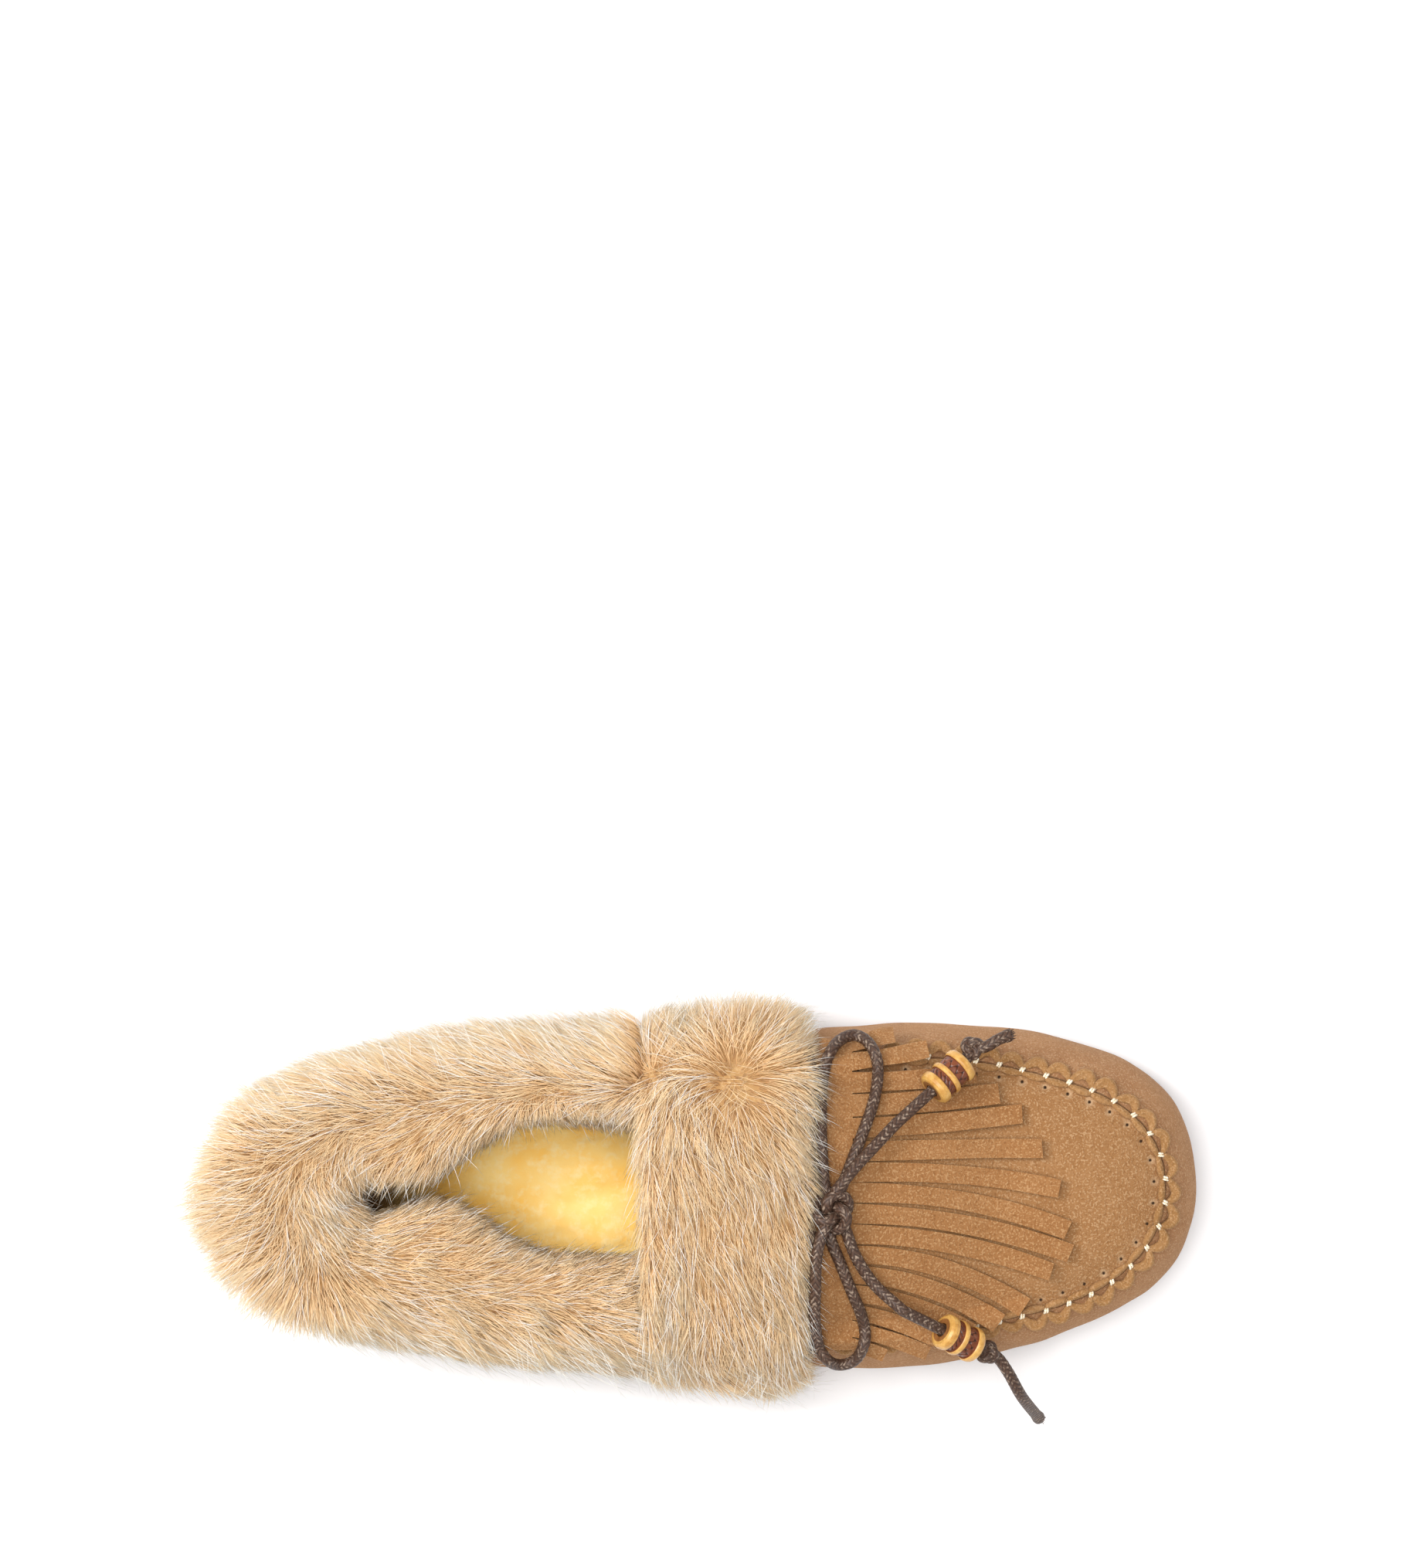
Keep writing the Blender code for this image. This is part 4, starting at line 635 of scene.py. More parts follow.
def tinted(colour, codes, own=1):
    """The codes' colours moved with the user's: each times the user's
    colour over the code that stands for it, channel by channel."""
    base = hex_colour(codes[own])
    return [tuple(v * c / b for v, c, b in zip(hex_colour(code), colour, base)) + (1.0,) for code in codes]


def suede(name, tones, holes=False, nap=1.0):
    """Split-leather suede, sueded on a drum: a matt nap of fibres about
    0.4 mm across, drawn half coarser so that it shows, over soft clouds 10
    to 25 mm wide where the nap was brushed. It gives the eye a velvety face
    without highlights, freckled light and dark."""
    deep, body, pale = tones
    m, nt, s, at = material(name, Roughness=0.94, Sheen_Weight=0.22, Sheen_Roughness=0.55,
                            Sheen_Tint="#f0c79a", Specular_IOR_Level=0.12)
    broad, patch, grain, fleck = (
        add(nt, NOISE, {"Vector": at, "Scale": scale, "Detail": detail, "Roughness": rough})
        for scale, detail, rough in ((55, 3.0, 0.55), (260, 2.0, 0.6), (1250, 3.0, 0.75), (1900, 1.5, 0.5)))
    c = layered(nt, deep, [(broad, 0.30, 0.66, 0.45, 1.0, body), (patch, 0.46, 0.70, 0.0, 0.22, pale),
                           (grain, 0.36, 0.50, 0.95 * nap, 0.0, deep), (fleck, 0.54, 0.63, 0.0, 1.0 * nap, pale)])
    height = add(nt, MATH, {0: grain, 1: 0.9}, operation="MULTIPLY")
    height = add(nt, MATH, {0: fleck, 1: 0.6, 2: height}, operation="MULTIPLY_ADD")
    if holes:
        # needle holes 2.5 mm inside the seam, one a stitch, in rubbed pale rings; each hole is a dark dot of
        # painted shade
        u, v = add(nt, "ShaderNodeSeparateXYZ", {0: add(nt, "ShaderNodeUVMap", uv_map="seam")}).node.outputs[:2]
        for kind, b in (("ADD", 0.42), ("FRACT", 0.0), ("SUBTRACT", 0.5), ("MULTIPLY", STITCH * 1000)):
            u = add(nt, MATH, {0: u, 1: b}, operation=kind)
        v = add(nt, MATH, {0: v, 1: 2.5}, operation="ADD")
        far = add(nt, MATH, {0: u, 1: u}, operation="MULTIPLY")
        far = add(nt, MATH, {0: v, 1: v, 2: far}, operation="MULTIPLY_ADD")
        far = add(nt, MATH, {0: far}, operation="SQRT")
        ring = add(nt, SPAN, {0: far, 1: 0.5, 2: 1.6, 3: 0.40, 4: 0.0})
        ring = add(nt, MATH, {0: ring, 1: add(nt, SPAN, {0: patch, 1: 0.4, 2: 0.6})}, operation="MULTIPLY")
        # hole: the near-black dot of painted shade in each needle hole
        hole = add(nt, SPAN, {0: far, 1: 0.26, 2: 0.5, 3: 1.0, 4: 0.0})
        for share, tone in ((ring, "#dcbf9c"), (hole, "#2c1a0e")):
            c = add(nt, MIX, {0: share, 6: c, 7: tone}, 2, data_type="RGBA")
        height = add(nt, MATH, {0: hole, 1: -1.5, 2: height}, operation="MULTIPLY_ADD")
    bump = add(nt, "ShaderNodeBump", {"Strength": 0.75, "Distance": 0.0005, "Height": height})
    feed(nt, s, {"Base Color": c, "Normal": bump})
    return m


def waxed_cord(tones):
    """Cotton cord braided of eight ends and waxed: dark brown, chevrons of
    plaits 1.6 mm long, darker in the grooves between plaits as painted shade,
    and a broken pale streak along the top of each plait as a painted highlight."""
    deep, body, worn_tone, wax = tones
    m, nt, s, at = material("braided_waxed_cotton_cord", Specular_IOR_Level=0.38)
    u, v = add(nt, "ShaderNodeSeparateXYZ", {0: add(nt, "ShaderNodeUVMap", uv_map="strand")}).node.outputs[:2]
    for kind, b in (("MULTIPLY", 4.0), ("FRACT", 0.0), ("MULTIPLY", 2.0), ("SUBTRACT", 1.0), ("ABSOLUTE", 0.0)):
        v = add(nt, MATH, {0: v, 1: b}, operation=kind)
    rib = add(nt, MATH, {0: u, 1: 1.6}, operation="DIVIDE")
    for kind, b in (("ADD", v), ("MULTIPLY", math.pi), ("SINE", 0.0), ("ABSOLUTE", 0.0)):
        rib = add(nt, MATH, {0: rib, 1: b}, operation=kind)
    worn, broad = (add(nt, NOISE, {"Vector": at, "Scale": scale, "Detail": detail, "Roughness": rough})
                   for scale, detail, rough in ((900, 3.0, 0.65), (120, 2.0, 0.5)))
    # painted shade: the deep tone fills the grooves between plaits, body lies on their tops
    c = layered(nt, deep, [(rib, 0.05, 0.6, 0.0, 1.0, body), (broad, 0.35, 0.65, 0.0, 0.5, worn_tone)])
    # painted highlight: the wax tone in broken streaks along each plait's top
    crest = add(nt, MATH, {0: add(nt, SPAN, {0: worn, 1: 0.51, 2: 0.64}),
                           1: add(nt, SPAN, {0: rib, 1: 0.5, 2: 0.95, 3: 0.1, 4: 0.95})}, operation="MULTIPLY")
    c = add(nt, MIX, {0: crest, 6: c, 7: wax}, 2, data_type="RGBA")
    height = add(nt, MATH, {0: worn, 1: 0.5, 2: rib}, operation="MULTIPLY_ADD")
    feed(nt, s, {"Base Color": c, "Roughness": add(nt, SPAN, {0: worn, 1: 0.35, 2: 0.7, 3: 0.44, 4: 0.70}),
                 "Normal": add(nt, "ShaderNodeBump", {"Strength": 0.5, "Distance": 0.0002, "Height": height})})
    return m


def carved_wood():
    """Boxwood turned on a lathe, stained in its cut bands and waxed: honey
    yellow rings, red-brown bands with the carving rubbed light at its edges,
    and painted shade, near black, in the carved grooves. It gives a soft, low gloss."""
    m, nt, s, at = material("turned_stained_boxwood", Roughness=0.40, Specular_IOR_Level=0.45, Coat_Weight=0.12,
                            Coat_Roughness=0.35)
    stain_and_groove_shade = add(nt, "ShaderNodeAttribute", out="Fac", attribute_name="stain_and_groove_shade")
    worn, fine = (add(nt, NOISE, {"Vector": at, "Scale": scale, "Detail": detail, "Roughness": 0.6})
                  for scale, detail in ((420, 4.0), (1900, 2.0)))
    ring = layered(nt, "#b47f38", [(worn, 0.35, 0.65, 0.0, 1.0, "#d3a65b"),
                                   (fine, 0.60, 0.72, 0.0, 0.45, "#855322")])
    band = layered(nt, "#582812", [(worn, 0.35, 0.65, 0.0, 1.0, "#7c4224")])
    # values above 1 mark the carved grooves, which get near-black brown as painted shade
    c = layered(nt, ring, [(stain_and_groove_shade, 0.15, 0.85, 0.0, 1.0, band), (stain_and_groove_shade, 1.1, 1.75, 0.0, 0.85, "#260f07")])
    feed(nt, s, {"Base Color": c,
                 "Normal": add(nt, "ShaderNodeBump", {"Strength": 0.25, "Distance": 0.0001, "Height": worn})})
    return m


def fur_hair(tones):
    """Long-haired dressed pelt: each hair dark honey at the root, pale gold
    along its length and near white at the tip, the guard hairs paler still.
    The map gives the hair's own tint across and its length up; the darker
    root is partly the hair's own colour and partly painted shade, for depth
    between the locks."""
    m, nt, s, _ = material("dressed_pelt_hair", Roughness=0.62, Specular_IOR_Level=0.25, Sheen_Weight=0.10,
                            Sheen_Roughness=0.5)
    own, up = add(nt, "ShaderNodeSeparateXYZ", {0: add(nt, "ShaderNodeUVMap", uv_map="OFBake")}).node.outputs[:2]
    root, low, body, tip, guard = tones
    c = layered(nt, root, [(up, 0.02, 0.30, 0.0, 1.0, low), (up, 0.22, 0.60, 0.0, 1.0, body),
                           (up, 0.55, 0.98, 0.0, 1.0, tip), (own, 0.12, 0.95, 0.45, 0.0, low)])
    pale = add(nt, MATH, {0: add(nt, SPAN, {0: own, 1: 0.10, 2: 0.05}), 1: add(nt, SPAN, {0: up, 1: 0.1, 2: 0.6})},
               operation="MULTIPLY")
    feed(nt, s, {"Base Color": add(nt, MIX, {0: pale, 6: c, 7: guard}, 2, data_type="RGBA")})
    return m


def plain_hide(name, tones, scale, roughness=0.85, depth=0.0003, sheen=0.0, heel_end_shade=None):
    """A worked hide or sheet: three tones in clouds at the given grain per
    metre and a low relief of the same grain. It gives an even, dull face
    with a visible tooth; a last tone, when given, is painted shade that
    darkens it towards the heel's end, deep inside the shoe."""
    deep, body, pale = tones
    m, nt, s, at = material(name, Roughness=roughness, Sheen_Weight=sheen, Specular_IOR_Level=0.2)
    broad, grain = (add(nt, NOISE, {"Vector": at, "Scale": per_metre, "Detail": detail, "Roughness": rough})
                    for per_metre, detail, rough in ((70, 3.0, 0.55), (scale, 4.0, 0.65)))
    rows = [(broad, 0.36, 0.64, 0.0, 1.0, body), (grain, 0.48, 0.68, 0.0, 0.7, pale)]
    # painted shade: towards the heel's end, deep in the shoe, the colour is mixed to the dark tone
    if heel_end_shade:
        rows.append((add(nt, "ShaderNodeSeparateXYZ", {0: at}), -0.086, -0.066, 1.0, 0.0, heel_end_shade))
    feed(nt, s, {"Base Color": layered(nt, deep, rows),
                 "Normal": add(nt, "ShaderNodeBump", {"Strength": 0.6, "Distance": depth, "Height": grain})})
    return m


def sewing_thread():
    """Waxed linen thread laid from two plies, 0.7 mm thick: ecru, clouded
    where the wax is thin. It catches a soft light on its round top."""
    m, nt, s, at = material("waxed_linen_thread", Roughness=0.55, Sheen_Weight=0.15)
    wax = add(nt, NOISE, {"Vector": at, "Scale": 2600, "Detail": 2.0, "Roughness": 0.6})
    feed(nt, s, {"Base Color": layered(nt, "#cdb488", [(wax, 0.35, 0.6, 0.0, 1.0, "#fff6e2")])})
    return m


MATERIALS = {}


def finish_named(key):
    """The material of a finish, made once, in the user's colours."""
    hide, cord, fur = (getattr(bpy.context.scene, name) for name, _ in GROUPS)
    made = {
        "apron": lambda: suede("brushed_suede_apron", tinted(hide.apron, ("#885e38", "#9a7048", "#ac8762")),
                               holes=True),
        "wrap": lambda: suede("brushed_suede_wrap", tinted(hide.wrap, ("#8a5f3f", "#9d724e", "#b28d6b")), nap=0.8),
        "fringe": lambda: suede("cut_suede_fringe", tinted(hide.fringe, ("#845832", "#986b42", "#aa825a"))),
        "lacing": lambda: suede("gathered_suede_seam", tinted(hide.seam, ("#80592f", "#9f764c", "#b38d66")),
                                nap=0.7),
        # the cord's first tone is painted shade in its grooves, its last a painted highlight on its plaits
        "cord": lambda: waxed_cord(tinted(cord.tone, ("#27170f", "#4f382b", "#3c291f", "#9a8776"))),
        "bead": carved_wood, "thread": sewing_thread,
        "fur": lambda: fur_hair(tinted(fur.tone, ("#cfa06a", "#eec690", "#fce0b4", "#fff4d6", "#fffffb"), 2)),
        # the pelt's leather side, tanned and fleshed: a warm tan under the
        # hair, so that a parting shows skin and no dark gap
        "hide": lambda: plain_hide("pelt_leather_side", ("#b98f5d", "#c9a371", "#dabb8c"), 900),
        # sheepskin with its wool clipped short and dyed yellow: matt, soft
        # curls of light and dark, dark brown at the heel's end as painted shade
        "shearling": lambda: plain_hide("clipped_shearling", tinted(fur.insole, ("#ffcb66", "#ffdc8a", "#ffe6a6")),
                                        340, 0.95, 0.0006, 0.4, "#5d4024"),
        # pigskin: thin, pale tan and even, with a close grain
        "lining": lambda: plain_hide("pigskin_lining", ("#c2a072", "#d5b88c", "#e4cda8"), 1200),
        # board of pressed fibres: dull brown with short flecks
        "board": lambda: plain_hide("pressed_fibre_board", ("#8b7350", "#a08963", "#b8a27c"), 1500),
        # rubber rolled into a sheet: dark brown, a little smoother than the
        # hides, with a fine tooth from the rolls
        "sole": lambda: plain_hide("calendered_rubber_sole", ("#4d3423", "#684a33", "#80614a"), 620, 0.78)}
    if key not in MATERIALS:
        MATERIALS[key] = made[key]()
    return MATERIALS[key]


def dress(ob, key, body="shoe", nodes=(), ride=True):
    """Gives a piece its finish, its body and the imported
    nodes that it stands for."""
    ob.data.materials.clear()
    ob.data.materials.append(finish_named(key))
    if ride:
        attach(ob, body)
    if nodes:
        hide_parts(*nodes)
    return ob


# ------------------------------------------------------------ the operators
def area_lamp(name, at, to, size, power, colour):
    """Square softbox at a place, its -Z turned along the unit direction to a
    point, its X square to that and to the world's Y."""
    data = bpy.data.lights.new(name, "AREA")
    data.energy, data.size, data.color = power, size, colour
    ob = bpy.data.objects.new(name, data)
    bpy.context.scene.collection.objects.link(ob)
    back = unit(np.array(at, float) - np.array(to, float))
    side = unit(np.cross([0.0, 1.0, 0.02], back))
    up = np.cross(back, side)
    ob.matrix_world = Matrix(((side[0], up[0], back[0], at[0]), (side[1], up[1], back[1], at[1]),
                              (side[2], up[2], back[2], at[2]), (0, 0, 0, 1)))
    return ob


class MOCCASIN_OT_stage(bpy.types.Operator):
    """Pale floor, soft studio light and the camera straight above"""
    bl_idname = "moccasin.stage"
    bl_label = "Stage"

    def execute(self, context):
        """Camera 1.84 m above the sole, looking straight down, a paper floor 0.2 mm
        under it and three softboxes."""
        data = bpy.data.cameras.new("camera")
        data.sensor_fit, data.sensor_width = "AUTO", 36.0
        data.lens = 158.8
        data.clip_start, data.clip_end = 0.05, 20.0
        cam = bpy.data.objects.new("camera", data)
        cam.location = (0.0012, 0.1075, 1.84)
        context.scene.collection.objects.link(cam)
        context.scene.camera = cam
        x, y = np.meshgrid([-3.0, 3.0], [-3.0, 3.0], indexing="ij")
        floor = mesh_of("floor", np.stack([x, y, np.full_like(x, -0.0002)], -1), [grid_quads(2, 2)])
        if floor.data.polygons[0].normal.z < 0:
            floor.data.flip_normals()
        # matt white paper sweep: nearly white, no gloss
        m, nt, s, at = material("matt_white_paper", Roughness=0.9, Specular_IOR_Level=0.05)
        cloud = add(nt, NOISE, {"Vector": at, "Scale": 3, "Detail": 2.0, "Roughness": 0.5})
        feed(nt, s, {"Base Color": layered(nt, "#f6f6f8", [(cloud, 0.3, 0.7, 0.0, 1.0, "#fbfbfc")])})
        floor.data.materials.append(m)
        area_lamp("key_softbox", (-0.80, 0.36, 1.25), (0, 0.02, 0.02), 0.5, 14.5, (1.0, 0.995, 0.985))
        area_lamp("overhead_softbox", (-0.12, 0.10, 2.4), (0, 0.02, 0.02), 1.2, 47.0, (1.0, 0.995, 0.985))
        area_lamp("fill_softbox", (0.9, -0.5, 1.3), (0, 0, 0.02), 1.3, 2.5, (0.97, 0.985, 1.0))
        world = bpy.data.worlds.new("studio_air")
        world.use_nodes = True
        feed(world.node_tree, world.node_tree.nodes["Background"], {0: "#ffffff", 1: 0.42})
        context.scene.world = world
        context.scene.view_settings.view_transform = "Standard"
        return {"FINISHED"}


def plait_relief(pitch):
    """Chevron plaits: the radius swells by |sin(pi (length / pitch + zig))|,
    zig a triangle wave four times round the cord."""
    def relief(d, a):
        """The radius's factor at a length and a turn."""
        zig = np.abs(2 * np.mod(4 * a / (2 * math.pi), 1.0) - 1)
        return 0.955 + 0.07 * np.abs(np.sin(math.pi * (d / pitch + zig))) ** 0.7
    return relief


def cord_route(rows, n):
    """Route of a loop lying on the kiltie: its plan curve, draped half a
    cord above the suede, k cords higher where it lies on another."""
    c = resample(smooth_curve([(x, y, k * CORD_OVER) for x, y, k in rows], 10), n)
    return drape(c[:, 0], c[:, 1], CORD_UP + np.maximum(0, c[:, 2]))


def tail_route(which):
    """Route of a tail: out of the knot, straight through its bead, through
    the stopper knot and on to its frayed end."""
    b, d = np.array(BEADS[which][0]), np.array(BEADS[which][1])
    start = b - d * (SLIDE + BEAD_LEN / 2 + 0.0012)
    end = b + d * (BEAD_LEN / 2 + 0.0004)
    if which == "medial":
        lead = drape([.0351, .0362, .0400, .0440], [.0028, .0042, .0088, .0130], [.0073, .0074, .0074, .0071])
    else:
        lead = drape([.0373, .0382, .0405, .0452], [-.0056, -.0080, -.0140, -.0212], [.0048, .0047, .0049, .0061])
    pts = smooth_curve(np.vstack([lead, start]), 40)
    perp = unit(np.cross([0, 0, 1.0], d))
    kc = b + d * (BEAD_LEN / 2 + 0.0004 + KNOT_R) + perp * (0.0012 if which == "medial" else 0) + [0, 0, .0002]
    if which == "medial":
        a = kc + [0.0040, 0.0008, 0.0004]
        e = np.array([0.0804, 0.0425, a[2] - 0.0012])
        rest = smooth_curve([end, (end + kc) / 2, kc, a, (a + e) / 2 + [0, .0003, .0004], e], 20)
    else:
        a = kc + d * (KNOT_R + 0.0009) + [0, 0, -0.0002]
        rest = smooth_curve([end, kc, a, a + [.0030, -.0042, -.0020], a + [.0068, -.0110, -.0085],
                             [0.0896, -0.0595, 0.0170]], 20)
    whole = np.vstack([pts[:-1], start + (end - start) * np.linspace(0, 1, 40)[:-1, None], rest])
    return resample(whole, 300), kc + d * 0.0006


def knot_route(centre, size, high, lean):
    """Trefoil knot: x and y are (2 + cos 3t) times cos 2t and sin 2t, z is
    sin 3t, turned by lean about Z."""
    t = np.linspace(0, 2 * math.pi, 161)
    p = np.stack([(2 + np.cos(3 * t)) * np.cos(2 * t + lean), (2 + np.cos(3 * t)) * np.sin(2 * t + lean),
                  np.sin(3 * t) * high], 1)
    return np.array(centre) + p * size


class MOCCASIN_OT_cords(bpy.types.Operator):
    """Waxed cord: the bow's two loops and two tails, its knots and the cord round the collar"""
    bl_idname = "moccasin.cords"
    bl_label = "Cords"

    def execute(self, context):
        """A tube along each route, its radius times the relief of the plaits."""
        size = context.scene.moccasin_cord
        r, relief = size.radius, plait_relief(size.plait)
        for name, rows, body in (("loop_medial", LOOP_MEDIAL, "shoe"),
                                 ("loop_lateral", LOOP_LATERAL, "loop_lateral")):
            path = cord_route(rows, 240)
            ob = dress(tube("bow_" + name, path, r, 20, relief), "cord", body, [name])
        rng = np.random.default_rng(SEED)
        for which in ("medial", "lateral"):
            path, kc = tail_route(which)
            body = "tail_" + which
            end = np.interp(np.arange(len(path)), [len(path) - 12, len(path) - 1], [1.0, 1.16])
            ob = dress(tube("bow_tail_" + which, path, r * end, 20, relief), "cord", body,
                       ["tail_" + which, "cord_end_" + which])
            lean = 0.4 if which == "medial" else 1.4
            knot = dress(tube("stopper_knot_" + which, knot_route(kc, 0.00066, 1.35, lean), 0.0013, 16,
                              plait_relief(0.0015), cap=False), "cord", body, ["stopper_" + which])
            # frayed ends of the eight plaits, each fibre 0.2 mm thick
            tan = unit(path[-1] - path[-6])
            side = unit(np.cross(tan, [0, 0, 1.0]))
            up = np.cross(side, tan)
            n = 46
            a, k = rng.uniform(0, 2 * math.pi, n), np.sqrt(rng.uniform(0, 1, n)) * r * 0.95
            out = np.cos(a)[:, None] * side + np.sin(a)[:, None] * up
            t = np.linspace(0, 1, 4)[None, :, None]
            ln = rng.uniform(0.0009, 0.0021, n)[:, None, None]
            splay = k[:, None, None] + t ** 2 * ln * rng.uniform(0, .5, n)[:, None, None]
            paths = path[-1] - tan * 0.0004 + out[:, None] * splay + tan * t * ln
            fray = strands("frayed_end_" + which, paths, np.full((n, 4), 0.00011), 4,
                           rng.uniform(0, 1, n), "strand", turn=True)
            dress(fray, "cord", body)
        kz = drape(KNOT[0], KNOT[1], 0.0020)[2] + 0.0038
        route = knot_route((KNOT[0] - 0.0002, KNOT[1] - 0.0002, kz - 0.0002), 0.00158, 1.25, 0.9)
        knot = tube("bow_knot_tied", route, 0.0015, 18, relief, cap=False)
        dress(knot, "cord", "shoe", ["bow_knot"])
        half = {}
        for side in (1, -1):
            y = np.array([.0030 if side > 0 else -.0074] + [side * v for v in (.010, .017, .024, .031, .0365)])
            rows = [drape(np.full(6, .0287), y, np.array([.0035] + [CORD_UP] * 5))]
            for x, z, o in ((.0262, .0440, .0037), (.0200, .0430, .0037), (.0110, .0432, .0035),
                            (.0000, .0440, .0028), (-.0105, .0462, .0022)):
                s = side_s(x, side)
                q = q_of_z(s, z)
                rows.append((upper(s, q) + o * upper_normal(s, q)).reshape(1, 3))
            s = side_s(np.array([-.0200, -.0400, -.0620, -.0800]), side)
            q = wall_top(s) - 0.06
            rows.append(upper(s, q) + 0.0022 * upper_normal(s, q))
            half[side] = np.vstack(rows)
        s = np.array([0.70, 0.40, 0.12, 5.88, 5.60, 5.30])
        q = wall_top(s) - 0.06
        heel = upper(s, q) + 0.0022 * upper_normal(s, q)
        path = resample(smooth_curve(np.vstack([half[1], heel, half[-1][::-1]]), 10), 420)
        ob = dress(tube("collar_cord", path, r, 16, relief), "cord", "shoe", ["lace_collar"])
        return {"FINISHED"}


class MOCCASIN_OT_beads(bpy.types.Operator):
    """The two carved wooden beads"""
    bl_idname = "moccasin.beads"
    bl_label = "Beads"

    def execute(self, context):
        """A turned profile swung round the cord, its radius less depth times the cut."""
        depth = context.scene.moccasin_cord.carve
        h, ring, band = BEAD_LEN / 2, BEAD_R, BEAD_R - 0.0007
        prof = np.array([(-h, BEAD_BORE), (-h, BEAD_BORE + .0004), (-h, ring - .0012), (-h + .0003, ring - .0005),
                         (-h + .0009, ring - .0001), (-h + .0018, ring), (-h + .0023, ring - .0001),
                         (-h + .00255, ring - .0004), (-h + .0026, band), (-h + .0030, band),
                         (-h + .0041, band + .0001), (-h + .0052, band), (-h + .0055, band),
                         (-h + .00555, ring - .0004), (-h + .0058, ring - .0001),
                         (-h + .0064, ring), (-h + .0069, ring - .0001), (-h + .00715, ring - .0004),
                         (-h + .0072, band), (-h + .0075, band), (-h + .0081, band + .0001), (-h + .0087, band),
                         (-h + .0090, band), (-h + .00905, ring - .0004), (-h + .0093, ring - .0001),
                         (h - .0014, ring), (h - .0006, ring - .0002), (h - .0001, ring - .0008),
                         (h, ring - .0014), (h, BEAD_BORE + .0004), (h, BEAD_BORE)])
        d = run_length(prof)
        s = np.unique(np.concatenate([d, np.linspace(0, d[-1], 130)]))
        u, w = np.interp(s, d, prof[:, 0]), np.interp(s, d, prof[:, 1])
        outer = (s > d[3]) & (s < d[-4])
        a = np.linspace(0, 2 * math.pi, 193)[:-1]
        for which in ("medial", "lateral"):
            at, axis = np.array(BEADS[which][0]), np.array(BEADS[which][1])
            flip = 1.0 if which == "medial" else -1.0
            uu, aa = np.meshgrid(u, a, indexing="ij")
            ww = np.repeat(w[:, None], len(a), 1)
            wide, slim = (-h + .0026, -h + .0055), (-h + .0072, -h + .0090)
            if which == "medial":
                uu = -uu
                wide, slim = (h - .0055, h - .0026), (h - .0090, h - .0072)
            stain_and_groove_shade = np.zeros_like(uu)
            # wide band: a zigzag eleven times round with a dot in each
            # triangle; slim band: short leaning cuts
            for (b0, b1), plain in ((wide, False), (slim, True)):
                inside = (uu > b0 - .00006) & (uu < b1 + .00006) & outer[:, None]
                t = (uu - b0) / (b1 - b0)
                if plain:
                    lean = np.mod(aa * 16 / (2 * math.pi) + 1.2 * t, 1) - .5
                    cut = np.exp(-(lean / .13) ** 2) * (np.abs(t - .5) < .34)
                else:
                    ph = np.mod(aa * 11 / (2 * math.pi), 1)
                    zig = np.abs(2 * ph - 1)
                    line = np.exp(-((t - (.16 + .68 * zig)) / .075) ** 2)
                    dot = np.exp(-(((np.mod(ph + .5, 1) - .5) / .12) ** 2 + ((t - .72) / .13) ** 2)) \
                        + np.exp(-(((ph - .5) / .12) ** 2 + ((t - .28) / .13) ** 2))
                    cut = np.clip(line + dot, 0, 1)
                    stain_and_groove_shade = np.where(inside, 1 - .62 * np.clip(np.exp(-((t - (.16 + .68 * zig)) / .16) ** 2)
                                                              - cut * .9, 0, 1), stain_and_groove_shade)
                if plain:
                    stain_and_groove_shade = np.where(inside, 1, stain_and_groove_shade)
                # the cuts raise the value past 1, which the wood's material paints as shade in the grooves
                stain_and_groove_shade = np.where(inside, stain_and_groove_shade + .9 * cut, stain_and_groove_shade)
                ww = np.where(inside, ww - depth * cut, ww)
            # a small cut facet on each ring
            ringed = (stain_and_groove_shade < .1) & outer[:, None]
            facet = np.exp(-((np.mod(aa - 2.2 + math.pi, 2 * math.pi) - math.pi) / .22) ** 2)
            ww = np.where(ringed, ww - 0.00035 * facet, ww)
            stain_and_groove_shade = np.where(~outer[:, None] & (ww < ring - .0016), .7, stain_and_groove_shade)
            e1 = unit(np.cross(axis, [0, 0, 1.0]))
            e2 = np.cross(axis, e1)
            co = at + axis * (uu * flip)[..., None] \
                + ww[..., None] * (np.cos(aa)[..., None] * e1 + np.sin(aa)[..., None] * e2)
            ob = mesh_of("bead_%s_carved" % which, co, [grid_quads(len(u), len(a), True, True)],
                         values={"stain_and_groove_shade": stain_and_groove_shade}, sharp=50)
            dress(ob, "bead", "bead_" + which, ["bead_" + which])
        return {"FINISHED"}


